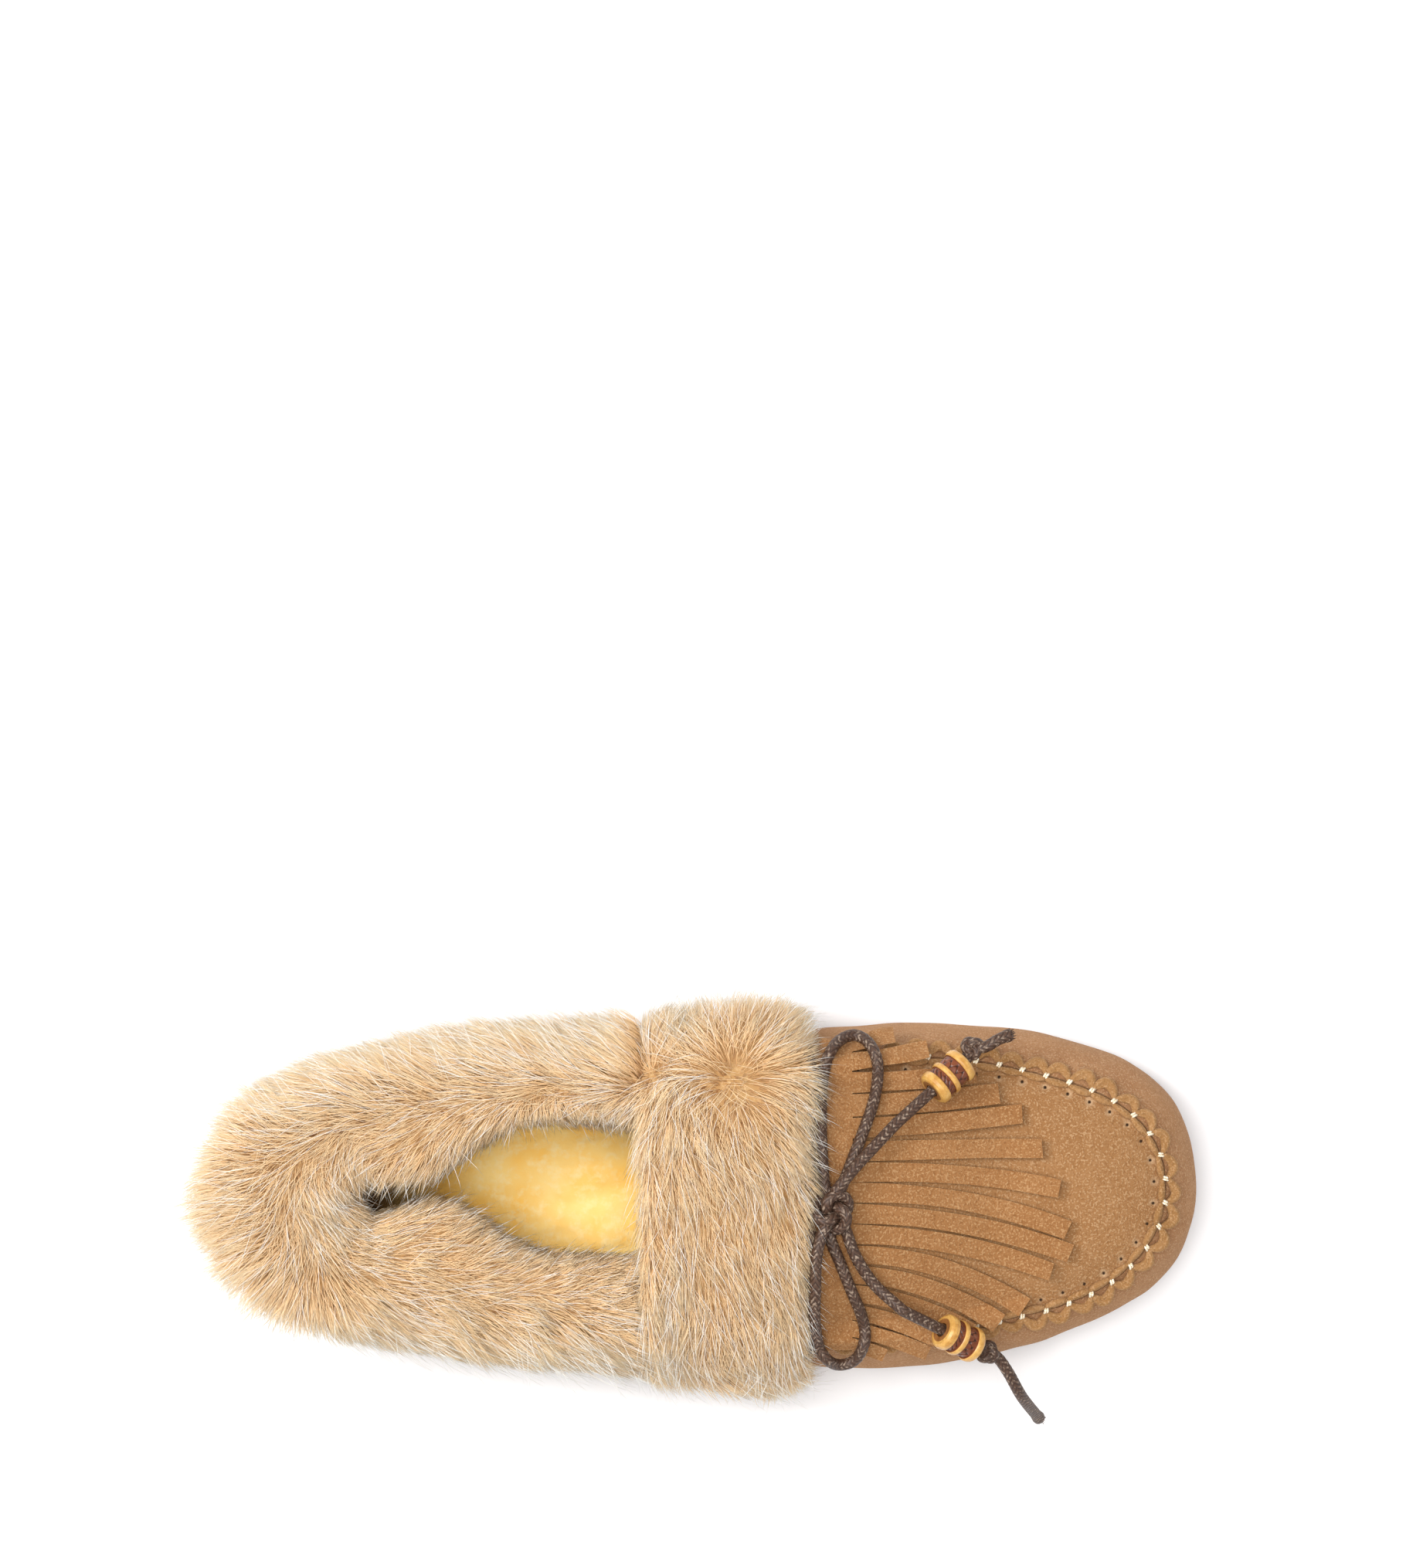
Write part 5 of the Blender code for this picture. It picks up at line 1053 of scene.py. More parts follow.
def flat_slab(name, inset, z0, z1, cols, rings, edge, crown=0.0, ripple=None):
    """Plate cut to the outline less an inset: rings shrink towards the
    spine, the rim is rounded by a quarter circle of radius edge and the top
    crowns with the fourth power of the ring."""
    s = np.linspace(0, 6, cols + 1)[:-1, None]
    x, dx, dy = station(s)
    round_off = np.linspace(0, math.pi / 2, 3)
    k = np.concatenate([np.ones(3), 1 - np.linspace(0, 1, rings + 1)[1:]])[None]
    drop = np.concatenate([edge * (1 - np.sin(round_off)), np.zeros(rings)])[None]
    pull = np.concatenate([edge * (1 - np.cos(round_off)), np.full(rings, edge)])[None]
    r = np.maximum(0, reach_out(s) - inset - pull) * k
    px, py = x + dx * r, centre_y(x) + dy * r
    z = z1 - drop - crown * k ** 4
    if ripple is not None:
        z = z + ripple(px, py) * ease((1 - k) * 6)
    top = np.stack(np.broadcast_arrays(px, py, z), -1)
    bot = np.stack(np.broadcast_arrays(px, py, z0 + drop * 0.8), -1)
    return plate(name, top, bot, wrap=True, rims=(0, 0, True, False), weld=3e-6)


def soft_noise(x, y, size, seed):
    """Smooth random heights from -1 to 1: the sum of nine plane waves of
    about the given length, in random directions and phases."""
    rng = np.random.default_rng(seed)
    out = 0.0
    for _ in range(9):
        a, p, k = rng.uniform(0, 2 * math.pi), rng.uniform(0, 2 * math.pi), rng.uniform(0.7, 1.6)
        out = out + np.sin(2 * math.pi * k / size * (x * math.cos(a) + y * math.sin(a)) + p)
    return out / 4.0


class MOCCASIN_OT_sole(bpy.types.Operator):
    """The outsole, the insole board and the shearling insole"""
    bl_idname = "moccasin.sole"
    bl_label = "Sole"

    def execute(self, context):
        """Two plates cut to the outline; the board between them keeps its own mesh."""
        dress(flat_slab("outsole_cut", SOLE_INSET, 0.0, SOLE_TOP, 420, 10, edge=0.0012), "sole",
              nodes=["outsole"])
        p0 = SOLE_TOP + GAP + BOARD + GAP

        def wool(x, y):
            """Curls 9 mm wide with smaller ones 3.5 mm wide on them."""
            return 0.00045 * soft_noise(x, y, 0.009, 5) + 0.0002 * soft_noise(x, y, 0.0035, 6)
        pad = flat_slab("insole_shearling", TUCK + SUEDE + 2 * LINING + 0.0026, p0, p0 + PAD, 360, 46,
                        edge=0.0014, crown=0.0012, ripple=wool)
        dress(pad, "shearling", nodes=["insole_pad"])
        for node in ("insole_board", "heel_counter"):
            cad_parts[node].data.materials.clear()
            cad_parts[node].data.materials.append(finish_named("board"))
        return {"FINISHED"}


def row_of(a, b, step):
    """Evenly spaced values from a to b, about step apart."""
    return np.linspace(a, b, max(2, int(round(abs(b - a) / step)) + 1))


def ring_row(x0, step):
    """Stations from x0 on the medial side round the toe to x0 on the
    lateral side, about step metres apart."""
    f = step / (TOE_X - HEEL_X)
    med = row_of(float(side_s(x0, 1)), 2.0, f)
    lat = row_of(4.0, float(side_s(x0, -1)), f)
    return np.concatenate([med[:-1], row_of(2.0, 4.0, step / 0.055), lat[1:]])


def heel_row(x0, step):
    """Stations from x0 on the medial side back round the heel to x0 on the
    lateral side."""
    f = step / (TOE_X - HEEL_X)
    return np.concatenate([row_of(float(side_s(x0, 1)), 1.0, f)[:-1], row_of(1.0, -1.0, step / 0.045)[:-1],
                           row_of(-1.0, float(side_s(x0, -1)) - 6, f)])


def pucker(x, y, size, outside):
    """Rise of the suede beside the seam: |sin(pi count)| between stitches,
    dying out as exp(-(v / 3.4 mm)^2), from the gathers of the wrap outside
    or the smaller waves of the apron inside, with a dimple at each needle
    hole there."""
    count, v = off_seam(x, y)
    v = np.abs(v)
    bump = np.abs(np.sin(math.pi * (count + (v / 0.016 if outside else 0)))) ** 0.8
    ends = ease(count / 1.5) * ease((STITCHES - count) / 1.5)
    if outside:
        return ends * (size * bump * np.exp(-(v / 0.0036) ** 2) + 0.25 * size * np.exp(-(v / 0.007) ** 2)
                       * np.sin(2 * math.pi * count * 0.5 + 0.8) ** 2), count, v
    step = (np.mod(count + 0.42, 1) - 0.5) * STITCH
    dimple = np.exp(-((step / 0.0009) ** 2 + ((v - 0.0025) / 0.0008) ** 2))
    return ends * (0.45 * size * bump * np.exp(-(v / 0.0026) ** 2) - 0.00035 * dimple), count, v


def panel(name, s, q, off, thick, relief=None, uv=False, **more):
    """Sheet of the upper: a grid of stations s by height parameters q, its
    face off from the surface plus a relief, its back thick behind."""
    s, q = np.broadcast_arrays(s, q)
    p, n = upper(s, q), upper_normal(s, q)
    rise, table = 0.0, None
    if relief is not None:
        rise, table = relief(p[..., 0], p[..., 1], p[..., 2])
    outer = p + n * (off + rise)[..., None] if np.ndim(rise) else p + n * off
    inner = p + n * (off - thick)
    if uv:
        more.update(uv=table, uv_name="seam")
    return plate(name, outer, inner, **more)


class MOCCASIN_OT_upper(bpy.types.Operator):
    """Suede upper: the toe wrap, the quarters, the apron and the heel strip"""
    bl_idname = "moccasin.upper"
    bl_label = "Suede upper"

    def execute(self, context):
        """Each sheet is the upper's face plus a relief, over its own stations."""
        size = context.scene.moccasin_suede.pucker
        foot = SOLE_TOP + GAP

        def wrap_relief(x, y, z):
            """Puckers near the seam plus low waves above the sole."""
            rise = pucker(x, y, size, True)[0]
            wave = 0.00022 * soft_noise(x, y + z, 0.022, 11) * ease((z - 0.009) / 0.01)
            return rise * ease((z - 0.022) / 0.006) + wave, None

        def apron_relief(x, y, z):
            """Puckers near the seam plus low waves away from it, and the map
            of stitch count and distance inside the seam in mm."""
            rise, count, v = pucker(x, y, size, False)
            wave = 0.0002 * soft_noise(x, y, 0.028, 12) * ease((v - 0.002) / 0.006)
            return rise + wave, np.stack([count, -v * 1000], -1)

        def quarter_relief(x, y, z):
            """Low waves, growing from the sole up."""
            return 0.0002 * soft_noise(x, y + z, 0.025, 13) * ease((z - 0.009) / 0.01), None

        def levels(s, top, n_low, n_up):
            """Height parameters from the sole to the widest line in even
            steps, and on to the top in steps that shrink towards it."""
            low = q_of_z(s, foot)
            rows = low * (1 - np.linspace(0, 1, n_low + 1)[:-1])
            u = 1 - (1 - np.linspace(0, 1, n_up)) ** 1.35
            return np.concatenate([np.broadcast_to(rows, (len(s), n_low)), top * u], 1)

        s = ring_row(JOIN_X + 0.0002, 0.00075)[:, None]
        dress(panel("toe_wrap_suede", s, levels(s, wall_top(s), 10, 44), 0.0, SUEDE, wrap_relief), "wrap",
              nodes=["toe_wrap"])
        for name, side in (("medial_quarter", 1), ("lateral_quarter", -1)):
            a = 0.008 if side > 0 else 5.992
            s = row_of(a, float(side_s(JOIN_X - 0.0002, side)), 0.0078)[:, None]
            dress(panel(name + "_suede", s, levels(s, wall_top(s), 8, 26), 0.0, SUEDE, quarter_relief), "wrap",
                  nodes=[name])
        s = ring_row(MOUTH_X, 0.00085)[:, None]
        b = q_seam(s, -0.0003)
        t = np.linspace(0, 1, 58)[None] ** 1.25
        ob = panel("apron_suede", s, b + (1 - b) * t, 0.0, SUEDE, apron_relief, uv=True,
                   rims=(True, True, True, False), weld=4e-6)
        dress(ob, "apron", nodes=["plug"])
        s = np.concatenate([row_of(0.29, 0.0, 0.012), row_of(6.0, 5.71, 0.012)[1:]])[:, None]
        low, high = q_of_z(s, foot + 0.0016), wall_top(s) * 0.2
        t = np.linspace(0, 1, 24)[None]
        ob = panel("heel_strip_suede", s, low + (high - low) * t, GAP + 0.0011, 0.0011)
        dress(ob, "wrap", nodes=["heel_strip"])
        return {"FINISHED"}


class MOCCASIN_OT_linings(bpy.types.Operator):
    """Pigskin linings of the vamp and the quarters"""
    bl_idname = "moccasin.linings"
    bl_label = "Linings"

    def execute(self, context):
        """Sheets behind the suede, by the thickness of what lies before them."""
        low = SOLE_TOP + GAP + 0.0026
        d0 = -(SUEDE + GAP)
        s = ring_row(MOUTH_X + 0.0015, 0.002)[:, None]
        a, t = q_of_z(s, low), np.linspace(0, 1, 40)[None]
        ob = panel("vamp_lining_skin", s, a + (1 - a) * t, d0, LINING, rims=(True, True, True, False), weld=8e-6)
        dress(ob, "lining", nodes=["vamp_lining"])
        s = heel_row(MOUTH_X - 0.0005, 0.002)[:, None]
        a, b = q_of_z(s, low), wall_top(s)
        ob = panel("quarter_lining_skin", s, a + (b - a) * t, d0 - LINING - GAP, LINING)
        dress(ob, "lining", nodes=["quarter_lining"])
        return {"FINISHED"}


def seam_place(count, out):
    """Plan points at a stitch count along the seam and a distance outside
    it: the seam point plus out times its left normal."""
    f = np.clip(count / STITCHES, 0, 1) * 1200
    k = np.arange(1201)
    tan = unit(np.gradient(SEAM_FINE, axis=0))
    p = np.stack([np.interp(f, k, SEAM_FINE[:, j]) for j in (0, 1)], -1)
    t = unit(np.stack([np.interp(f, k, tan[:, j]) for j in (0, 1)], -1))
    return p[..., 0] - t[..., 1] * out, p[..., 1] + t[..., 0] * out


class MOCCASIN_OT_seam(bpy.types.Operator):
    """The gathered seam round the apron, with its binding stitches"""
    bl_idname = "moccasin.seam"
    bl_label = "Laced seam"

    def execute(self, context):
        """Each fold swells by hump = sin(pi t) to the 0.8 from stitch to stitch t;
        a thread arches over both at every stitch by sqrt(1 - t^2)."""
        rng = np.random.default_rng(SEED + 2)
        count = np.linspace(0, STITCHES, STITCHES * 26 + 1)
        t = np.mod(count, 1.0)
        cell = np.minimum(count.astype(int), STITCHES - 1)
        vary = rng.uniform(0.86, 1.14, STITCHES)[cell]
        pull = rng.uniform(-0.12, 0.12, STITCHES)[cell]
        hump = np.sin(math.pi * np.clip(t + pull * np.sin(math.pi * t), 0, 1)) ** 0.8 * vary
        # outer fold: a puffed lobe from stitch to stitch that leans outwards
        # inner fold: a narrower, straighter ridge beside it
        for name, out, rad, flat, up in (
                ("seam_outer_fold", 0.0002 + 0.0022 * hump, 0.00050 + 0.00092 * hump, 1.10, 0.80),
                ("seam_inner_fold", -0.00070 - 0.00050 * hump, 0.00048 + 0.00046 * hump, 1.1, 0.66)):
            x, y = seam_place(count, out)
            n = top_normal(x, y)
            pts = np.stack([x, y, top_z(x, y)], -1) + n * (rad * up + 0.00025)[:, None]

            def crease(d, a, h=hump, outer=name == "seam_outer_fold"):
                """A groove along the fold, deepest at the crest of a lobe."""
                off = np.mod(a - (0.75 if outer else -0.4) + math.pi, 2 * math.pi) - math.pi
                deep = np.exp(-(off / 0.30) ** 2)
                return 1 - (0.46 if outer else 0.25) * deep * h[:, None] ** 0.5 + 0.02 * np.sin(9 * a + d * 4000)
            ob = tube(name, pts, rad, 18, crease, nors=n, flat=flat)
            dress(ob, "lacing", nodes=["seam_lacing"] if name == "seam_outer_fold" else [])
        # binding stitches: two turns of thread over the folds at each stitch
        k = np.arange(1, STITCHES)
        rows = []
        for shift in (-0.052, 0.052):
            t = np.linspace(-1, 1, 11)
            x, y = seam_place((k[:, None] + shift + 0.05 * t[None]), -0.00015 + 0.00072 * t[None] + 0 * k[:, None])
            n = top_normal(x, y)
            h = 0.00030 + 0.00110 * np.sqrt(np.maximum(0, 1 - t ** 2))[None, :, None]
            rows.append(np.stack([x, y, top_z(x, y)], -1) + n * h)
        paths = np.concatenate(rows)
        radii = np.full(paths.shape[:2], THREAD_R * 0.92)
        ob = strands("seam_binding_stitches", paths, radii, 4, rng.uniform(0, 1, len(paths)), "strand", turn=True)
        dress(ob, "thread", nodes=["seam_thread"])
        return {"FINISHED"}


def strip_sheet(strip, k, x0, tip_lift):
    """Outer and inner face of one strip: a plan parabola through root, bend
    and tip, widened to the strip's width square to it, draped over the
    apron, its tip lifted by the cube of the length and its edges curled by
    the square of the width."""
    rng = np.random.default_rng(SEED + 10 + k)
    (ax, ay), (bx, by), (cx, cy), w = strip[:4]
    t1 = (bx - ax) / (cx - ax)
    tip = cx + rng.uniform(-0.0004, 0.0004)
    x = np.linspace(x0, tip, 84)
    t = (x - ax) / (cx - ax)
    y = (t - t1) * (t - 1) / t1 * ay + t * (t - 1) / (t1 * (t1 - 1)) * by + t * (t - t1) / (1 - t1) * cy
    slope = np.gradient(y, x)
    g = (x - x0) / (tip - x0)
    v = np.linspace(-1, 1, 11)
    ramp = ease(g * 2.5)
    half = 0.5 * (w + 0.00028 * (1 - ease(g * 4))) * (1 + 0.02 * np.sin(g * 9 + k))
    half = half * (1 - 0.03 * ease((g - .9) * 10))
    skew = rng.uniform(-0.10, 0.10) * ease((g - .8) * 5)      # the end is cut a little askew
    px = x[:, None] + (-slope * ramp + skew)[:, None] * v * half[:, None]
    py = y[:, None] + v * half[:, None]
    lean = rng.uniform(-1, 1)
    rise = tip_lift * rng.uniform(0.55, 1.25) * g ** 3
    rise = rise + 0.00009 * (1 + np.sin(g * 11 + 1.7 * k)) * ease(g * 3)
    curl = 0.00030 * (0.4 + 0.6 * g) * rng.uniform(0.4, 1.2)
    off = (rise[:, None] + (curl * ease(g * 3))[:, None] * (v ** 2)[None]
           + (0.00035 * lean * v[None] + 0.0003 * abs(lean)) * (g ** 2)[:, None])
    hi = drape(px, py, FLAP_OFF + FLAP + off, 0.985)
    lo = drape(px, py, FLAP_OFF + off, 0.985)
    d = unit(hi - lo)
    return hi, hi - d * FLAP


class MOCCASIN_OT_kiltie(bpy.types.Operator):
    """The kiltie and its sixteen cut strips"""
    bl_idname = "moccasin.kiltie"
    bl_label = "Kiltie and fringe"

    def execute(self, context):
        """Sixteen strips and the uncut yoke, all draped over the apron."""
        tip_lift = context.scene.moccasin_suede.tip_lift
        for k, strip in enumerate(STRIPS):
            hi, lo = strip_sheet(strip, k, YOKE_X, tip_lift)
            node = "fringe_strip_%02d" % (k + 1)
            ob = plate("fringe_%02d_suede" % (k + 1), hi, lo, sharp=35)
            if strip[4]:
                dress(ob, "fringe", nodes=[node], ride=False)
                y = strip[0][1]
                z = float(drape(HINGE_X, y, 0.0017)[2])
                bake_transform(ob)
            else:
                dress(ob, "fringe", nodes=[node])
        x = np.linspace(0.0205, YOKE_X, 26)[None]
        y = np.linspace(0.0412, -0.0390, 130)[:, None]
        wave = 0.00012 * (1 + soft_noise(x, y, 0.02, 21)) * ease((YOKE_X - x) / 0.006)
        hi = drape(x + 0 * y, y + 0 * x, FLAP_OFF + FLAP + wave, 0.985)
        lo = drape(x + 0 * y, y + 0 * x, FLAP_OFF + wave, 0.985)
        ob = dress(plate("kiltie_yoke_suede", hi, lo), "fringe", nodes=["kiltie_yoke"])
        return {"FINISHED"}


def between(grid, a, b):
    """Bilinear value of a grid of rows at parameters a and b from 0 to 1."""
    na, nb = grid.shape[:2]
    u, v = np.clip(a, 0, 1) * (na - 1), np.clip(b, 0, 1) * (nb - 1)
    i, j = np.minimum(u.astype(int), na - 2), np.minimum(v.astype(int), nb - 2)
    f, g = (u - i)[:, None], (v - j)[:, None]
    return (grid[i, j] * (1 - f) * (1 - g) + grid[i + 1, j] * f * (1 - g)
            + grid[i, j + 1] * (1 - f) * g + grid[i + 1, j + 1] * f * g)


def grid_normal(p):
    """Unit normal of a grid of points: its slope along times its slope
    across."""
    return unit(np.cross(unit(np.gradient(p, axis=0)), unit(np.gradient(p, axis=1))))


def coat(name, skin, outward, cells, flow, size, pieces, seed):
    """Fur over a skin grid. Tufts stand on a jittered grid of cells, each
    hair beside its tuft's middle. flow gives each root a direction in space,
    the angle at which a hair leaves the skin in radians, and a share of the
    length. A hair leaves at that angle over the direction laid flat on the
    skin and bends down to 0.38 of it; its points are the root plus the
    running sum of length / 3 times the direction, pulled towards its tuft's
    own middle hair by the length to the 1.6. One hair in ten is a guard
    hair: longer, paler and hardly pulled."""
    rng = np.random.default_rng(seed)
    na, nb = cells
    nor = grid_normal(skin) * outward
    i, j = np.meshgrid(np.arange(na), np.arange(nb), indexing="ij")
    ca = (i.ravel() + rng.uniform(0, 1, na * nb)) / na
    cb = (j.ravel() + rng.uniform(0, 1, na * nb)) / nb
    k = size.tuft
    n = len(ca)
    ha = np.clip(ca[:, None] + rng.normal(0, 0.55 / na, (n, k)), 0.0, 1.0)
    hb = np.clip(cb[:, None] + rng.normal(0, 0.75 / nb, (n, k)), 0.0, 1.0)
    tuft_turn, tuft_len = rng.normal(0, 0.17, n), rng.uniform(0.82, 1.10, n)
    tuft_tint, tuft_up = rng.normal(0, 0.14, n), rng.normal(0, 0.10, n)
    guard = rng.uniform(0, 1, (n, k)) < 0.10

    def bend(a, b, turn, up, length, steps=4):
        """Points of the hairs at the places a, b of the skin."""
        p, w = between(skin, a, b), unit(between(nor, a, b))
        way, stand, part = flow(b, p, w)
        f = unit(way - w * (way * w).sum(1, keepdims=True))
        side = np.cross(w, f)
        f = unit(f * np.cos(turn)[:, None] + side * np.sin(turn)[:, None])
        out = [p - w * 0.0003]
        for c in range(steps - 1):
            ang = (1.0 + up) * stand * (1 - 0.62 * (c / (steps - 2)) ** 0.8)
            d = unit(f * np.cos(ang)[:, None] + w * np.sin(ang)[:, None] + [0, 0, -0.10 * c])
            out.append(out[-1] + d * (length * part / (steps - 1))[:, None])
        return np.stack(out, 1)

    mid = bend(ca, cb, tuft_turn, tuft_up, tuft_len * size.length)
    rep = np.repeat(np.arange(n), k)
    g = guard.ravel()
    turn = tuft_turn[rep] + rng.normal(0, 0.10, n * k) + np.where(g, rng.normal(0, 0.35, n * k), 0)
    up = tuft_up[rep] + rng.normal(0, 0.08, n * k) + np.where(g, 0.15, 0)
    length = size.length * tuft_len[rep] * rng.uniform(0.72, 1.05, n * k) * np.where(g, 1.34, 1.0)
    own = bend(ha.ravel(), hb.ravel(), turn, up, length)
    t = np.linspace(0, 1, own.shape[1])[None, :, None]
    pull = np.where(g, 0.12, 0.52)[:, None, None] * t ** 1.6
    own = own + (mid[rep] - own) * pull
    root = own[:, 0]
    # painted shade: darker tints in patches about 11 mm across, standing in for the hollows between locks
    patch = soft_noise(root[:, 0], root[:, 1], 0.011, seed + 3)
    tint = np.clip(0.58 + 0.24 * patch + tuft_tint[rep] + rng.normal(0, 0.16, n * k), 0.14, 0.97)
    tint = np.where(g, rng.uniform(0.0, 0.04, n * k), tint)
    r = size.radius * rng.uniform(0.8, 1.15, n * k)[:, None] * np.array([1.0, 0.92, 0.66, 0.0])[None]
    r = np.where(g[:, None], r * 0.85, r)
    per = int(math.ceil(len(own) / pieces))
    for c in range(pieces):
        part = slice(c * per, (c + 1) * per)
        ob = strands("%s_%02d" % (name, c + 1), own[part], r[part], 3, tint[part])
        dress(ob, "fur")


def heel_skin(shrink=0.0):
    """The pelt's leather round the heel: an inverted U carried along the
    topline, whose inner leg reaches further in towards the heel."""
    s = heel_row(MOUTH_X - 0.0030, 0.0016)[:, None]
    q1 = wall_top(s)
    top = upper(s, q1)
    n = upper_normal(s, np.maximum(q1 - 0.05, 0))
    n = unit(n * [1, 1, 0])
    x = top[..., 0]
    lateral = 0.0050 * ease((-top[..., 1] - 0.004) / 0.01) * (1 - ease((-0.062 - x) / 0.03))
    g = np.minimum(0.0122 * ease((-0.038 - x) / 0.045) + lateral - 0.0015, reach_out(s) - 0.0162)
    g = g - 0.0026 * np.exp(-((x + 0.089) / 0.011) ** 2)
    z, o = np.zeros_like(g), np.ones_like(g)
    e = shrink
    sec = [(.0030 * o, -.0270 + z), ((.0058 - e) * o, -.0230 + z), ((.0070 - e) * o, -.0130 + z),
           ((.0070 - e) * o, -.0040 + z), ((.0050 - e * .8) * o, .0024 - e * .6 + z),
           (.0006 * o, .0058 - e + z), (-.0052 * o - g * .4, .0066 - e + z),
           (-.0100 - g + e * .7, .0036 - e * .6 + z), (-.0122 - g + e, -.0040 + z),
           (-.0122 - g + e, -.0130 + z), (-.0085 - g * .6 + e * .5, -.0200 + z)]
    u = np.concatenate([v[0] for v in sec], 1)
    h = np.concatenate([v[1] for v in sec], 1)
    c = np.stack([u, h], -1).transpose(1, 0, 2).reshape(len(sec), -1)
    c = smooth_curve(c, 5).reshape(-1, len(s), 2).transpose(1, 0, 2)
    zt = top[..., 2]
    base = upper(s, q_of_z(s, np.minimum(zt, zt + np.minimum(c[..., 1], 0))))
    base = np.where((c[..., 1] < 0)[..., None], base, top)
    side = base[..., :2] + n[..., :2] * c[..., :1]
    return np.concatenate([side, (zt + c[..., 1])[..., None]], -1)


def instep_skin(shrink=0.0):
    """The pelt's leather over the instep: a rounded saddle section in x and
    height, swept over the ridge from side to side."""
    q = np.concatenate([np.linspace(0.17, 1.0, 56), np.linspace(1.0, 0.17, 56)[1:]])[:, None]
    side = np.concatenate([np.ones(56), -np.ones(55)])[:, None]
    sec = smooth_curve([(-.0112, -.0090), (-.0126, -.0040), (-.0131, .0016), (-.0121, .0052 - shrink),
                        (-.0070, .0070 - shrink), (.0020, .0078 - shrink), (.0120, .0076 - shrink),
                        (.0200, .0064 - shrink), (.0244, .0046 - shrink * .7), (.0256, .0024)], 5)
    x = sec[None, :, 0]
    off = sec[None, :, 1]
    leg = ease((q - 0.60) / 0.2)
    under = 0.0020 + 0.0030 * ease((0.78 - q) / 0.16)
    off = np.where(off < 0.0016, 0.0016 + (off - 0.0016) * leg, off)
    off = off * (0.62 + 0.38 * ease((q - 0.17) / 0.2)) + (under - 0.0020) * 0.5
    x, off = np.broadcast_arrays(x, off)
    s = np.where(side > 0, side_s(x, 1), side_s(x, -1))
    p, n = upper(s, q), upper_normal(s, q)
    flat = unit(n * [0, 1, 1])
    n = np.where((x <= -.0112)[..., None], flat, n)
    return p + n * off[..., None]


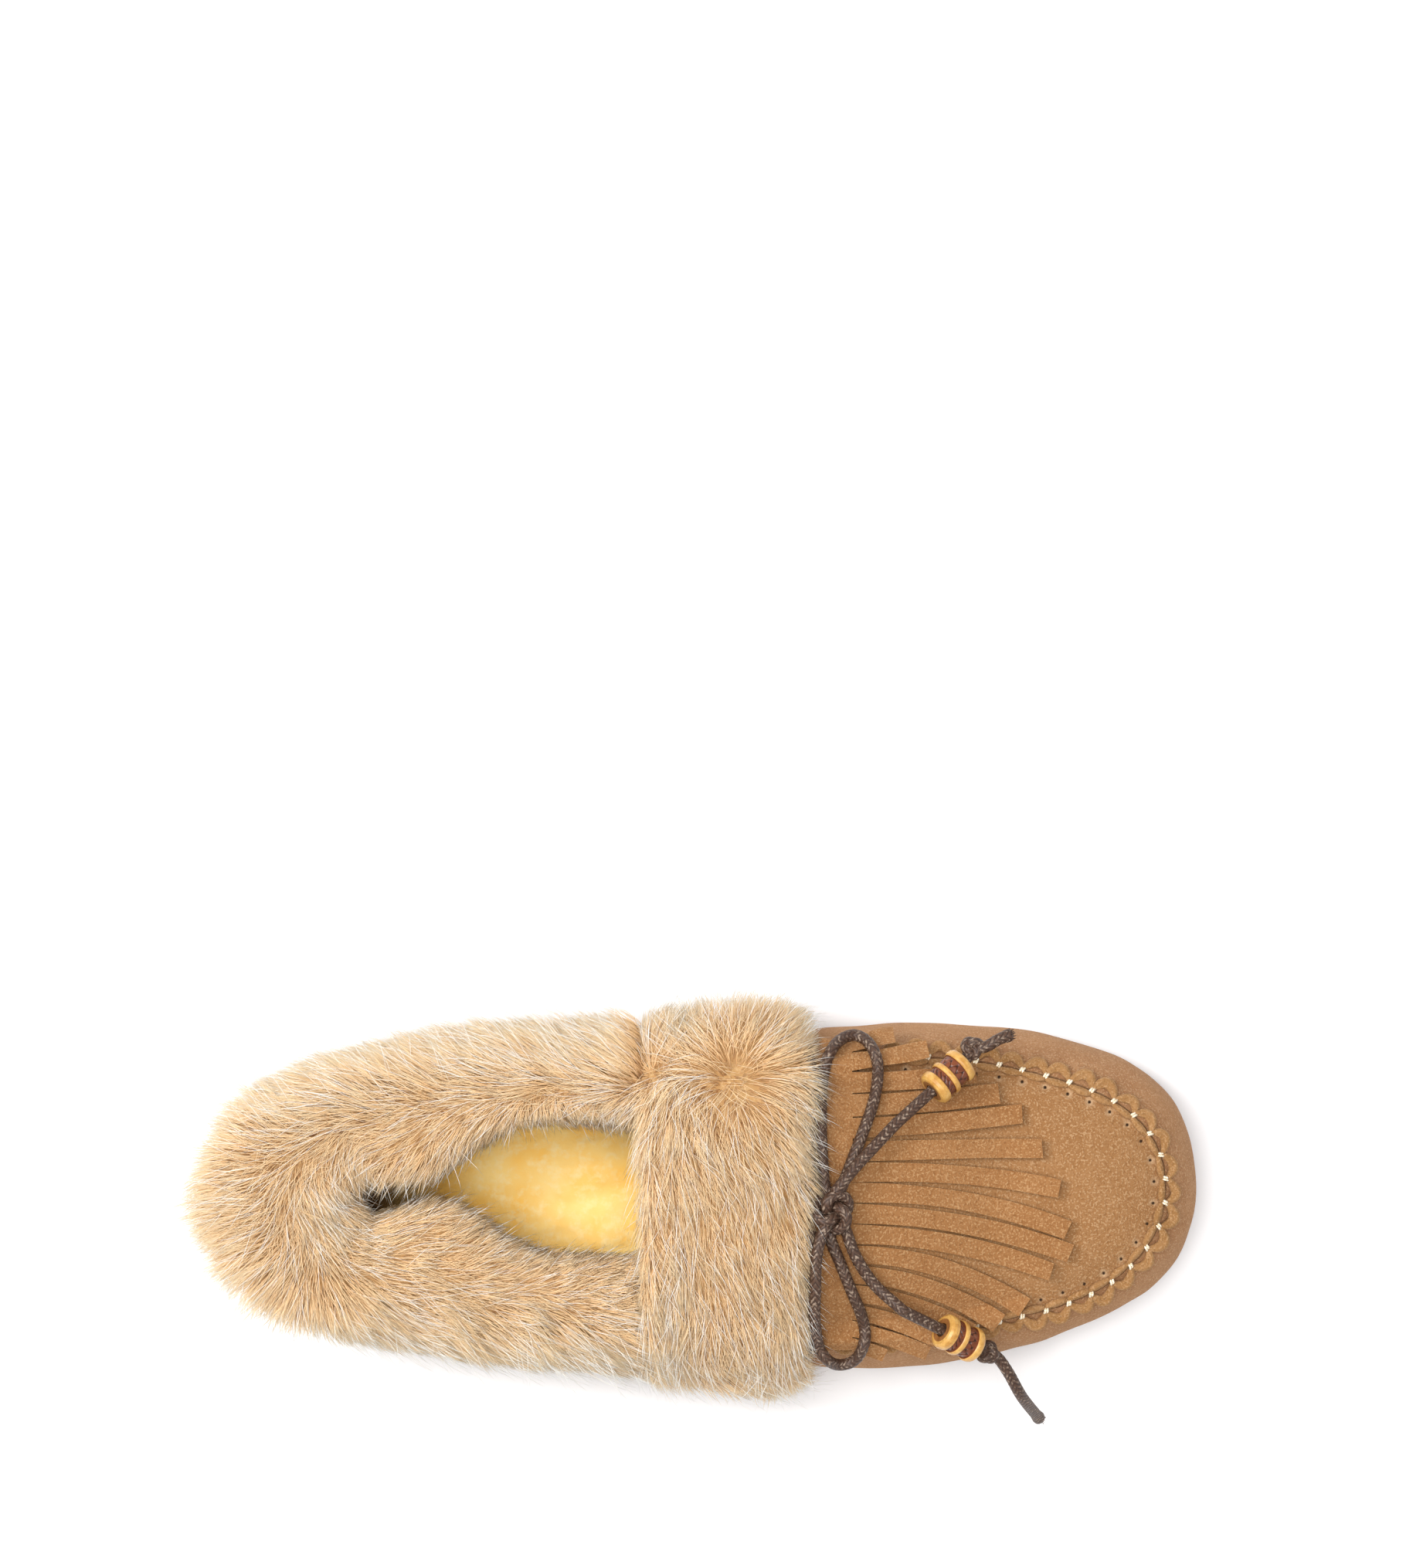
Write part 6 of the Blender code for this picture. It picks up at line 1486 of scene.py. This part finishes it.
class MOCCASIN_OT_fur(bpy.types.Operator):
    """The two fur cuffs: their leather and their hair"""
    bl_idname = "moccasin.fur"
    bl_label = "Fur cuffs"

    def execute(self, context):
        """Each pelt is a plate between its skin and the skin 0.9 mm further in,
        with hairs over the outer one."""
        size = context.scene.moccasin_fur
        skin = heel_skin()
        ob = plate("cuff_heel_pelt", skin, heel_skin(0.0009), weld=1e-6)
        dress(ob, "hide", nodes=["fur_cuff_heel"])

        def heel_flow(b, p, w):
            """Back along the medial side, round the heel and forward along
            the lateral side, leaning outwards; past the crest it leans into
            the mouth, and on a wall it hangs."""
            o = unit(np.stack([np.minimum(p[:, 0] + 0.080, 0), p[:, 1] - centre_y(p[:, 0])], 1))
            t = np.stack([-o[:, 1], o[:, 0]], 1)
            back, lateral = ease((-o[:, 0] - 0.45) / 0.5), ease((0.35 - o[:, 1]) / 0.7)
            inner = ease((b - 0.50) / 0.20)
            t_in = (1 - lateral) * (-0.30 + 0.85 * ease((-0.035 - p[:, 0]) / 0.04)) + lateral * 0.90
            ts = 0.87 - 0.70 * back
            ts = ts + (t_in - ts) * inner + 0.26 * soft_noise(p[:, 0], p[:, 1], 0.026, 31)
            os = 0.50 + 0.45 * back
            os = os - (os + 0.85 - 0.45 * lateral) * inner + 0.26 * soft_noise(p[:, 0], p[:, 1], 0.022, 32)
            fall = -1.15 * ease((0.60 - w[:, 2]) / 0.65)
            way = np.concatenate([t * ts[:, None] + o * os[:, None], fall[:, None]], 1)
            stand = 0.50 + 0.14 * np.exp(-((b - 0.56) / 0.10) ** 2) + 0.08 * ease((0.25 - b) / 0.25)
            heel = ease((-0.045 - p[:, 0]) / 0.05)
            slit = np.exp(-((p[:, 0] + 0.089) / 0.012) ** 2)
            part = np.where(b > 0.58, 0.62 + 0.30 * heel - 0.30 * slit, 1.0) * (1 - 0.18 * ease((0.2 - b) / 0.2))
            return way, stand, part
        n = size.tufts_heel
        nb = int(round(math.sqrt(n / 4.1)))
        coat("cuff_heel_fur", skin, crest_sign(skin), (n // nb, nb), heel_flow, size, 5, SEED + 31)

        skin = instep_skin()
        ob = plate("cuff_instep_pelt", skin, instep_skin(0.0009), weld=1e-6)
        dress(ob, "hide", nodes=["fur_cuff_instep"])

        def instep_flow(b, p, w):
            """From a whorl near the medial side: down each side from it, and
            on towards the toe at the front edge."""
            away = np.stack([p[:, 0] - 0.009, p[:, 1] - 0.033], 1)
            near = np.exp(-(away ** 2).sum(1) / 0.011 ** 2)
            away = unit(away)
            down = 1.8 * ease((p[:, 1] - 0.030) / 0.008) - 0.9
            front = 0.36 * ease((b - 0.35) / 0.4) + 1.3 * ease((b - 0.78) / 0.2)
            front = front + 0.40 * ease((0.42 - b) / 0.15)
            x = front * (1 - near) + near * away[:, 0] + 0.26 * soft_noise(p[:, 0], p[:, 1], 0.022, 33)
            y = down * (1 - near) + near * away[:, 1] + 0.16 * soft_noise(p[:, 0], p[:, 1], 0.024, 34)
            way = np.stack([x, y, -1.15 * ease((0.60 - w[:, 2]) / 0.65)], 1)
            stand = 0.46 + 0.34 * near + 0.12 * ease((b - .8) / .2) - 0.26 * ease((0.30 - b) / 0.12)
            part = 0.95 - 0.68 * ease((0.36 - b) / 0.22) - 0.22 * ease((b - 0.74) / 0.16)
            return way, stand, part
        n = size.tufts_instep
        nb = int(round(math.sqrt(n / 2.6)))
        coat("cuff_instep_fur", skin, crest_sign(skin), (n // nb, nb), instep_flow, size, 2, SEED + 47)
        return {"FINISHED"}


def crest_sign(skin):
    """+1 or -1, whichever turns a skin grid's normal up at its crest, the
    middle six of its columns."""
    n = np.cross(np.gradient(skin, axis=0), np.gradient(skin, axis=1))
    n = n[:, skin.shape[1] // 2 - 3:skin.shape[1] // 2 + 3]
    return 1.0 if n[..., 2].sum() > 0 else -1.0


class MOCCASIN_PT_panel(bpy.types.Panel):
    """Sizes of the moccasin and the steps that build it"""
    bl_idname = "MOCCASIN_PT_panel"
    bl_label = "Moccasin"
    bl_space_type = "VIEW_3D"
    bl_region_type = "UI"
    bl_category = "Moccasin"

    def draw(self, context):
        """Every setting of every group, then a button a step."""
        column = self.layout.column()
        for group in (context.scene.moccasin_suede, context.scene.moccasin_cord, context.scene.moccasin_fur):
            for key in group.__annotations__:
                column.prop(group, key)
        for op in STEPS:
            column.operator(op.bl_idname)


STEPS = (MOCCASIN_OT_stage, MOCCASIN_OT_beads, MOCCASIN_OT_cords, MOCCASIN_OT_sole, MOCCASIN_OT_upper,
         MOCCASIN_OT_linings, MOCCASIN_OT_seam, MOCCASIN_OT_kiltie, MOCCASIN_OT_fur)
GROUPS = (("moccasin_suede", SuedeSizes), ("moccasin_cord", CordSizes), ("moccasin_fur", FurSizes))


def register():
    """Registers the settings, the steps and the panel."""
    for key, group in GROUPS:
        bpy.utils.register_class(group)
        setattr(bpy.types.Scene, key, PointerProperty(type=group))
    for op in STEPS:
        bpy.utils.register_class(op)
    bpy.utils.register_class(MOCCASIN_PT_panel)


def unregister():
    """Takes them away again, last to first."""
    bpy.utils.unregister_class(MOCCASIN_PT_panel)
    for op in reversed(STEPS):
        bpy.utils.unregister_class(op)
    for key, group in reversed(GROUPS):
        delattr(bpy.types.Scene, key)
        bpy.utils.unregister_class(group)


def main():
    """Builds everything in order."""
    register()
    for op in STEPS:
        folder, name = op.bl_idname.split(".")
        getattr(getattr(bpy.ops, folder), name)()


if __name__ == "__main__":
    main()
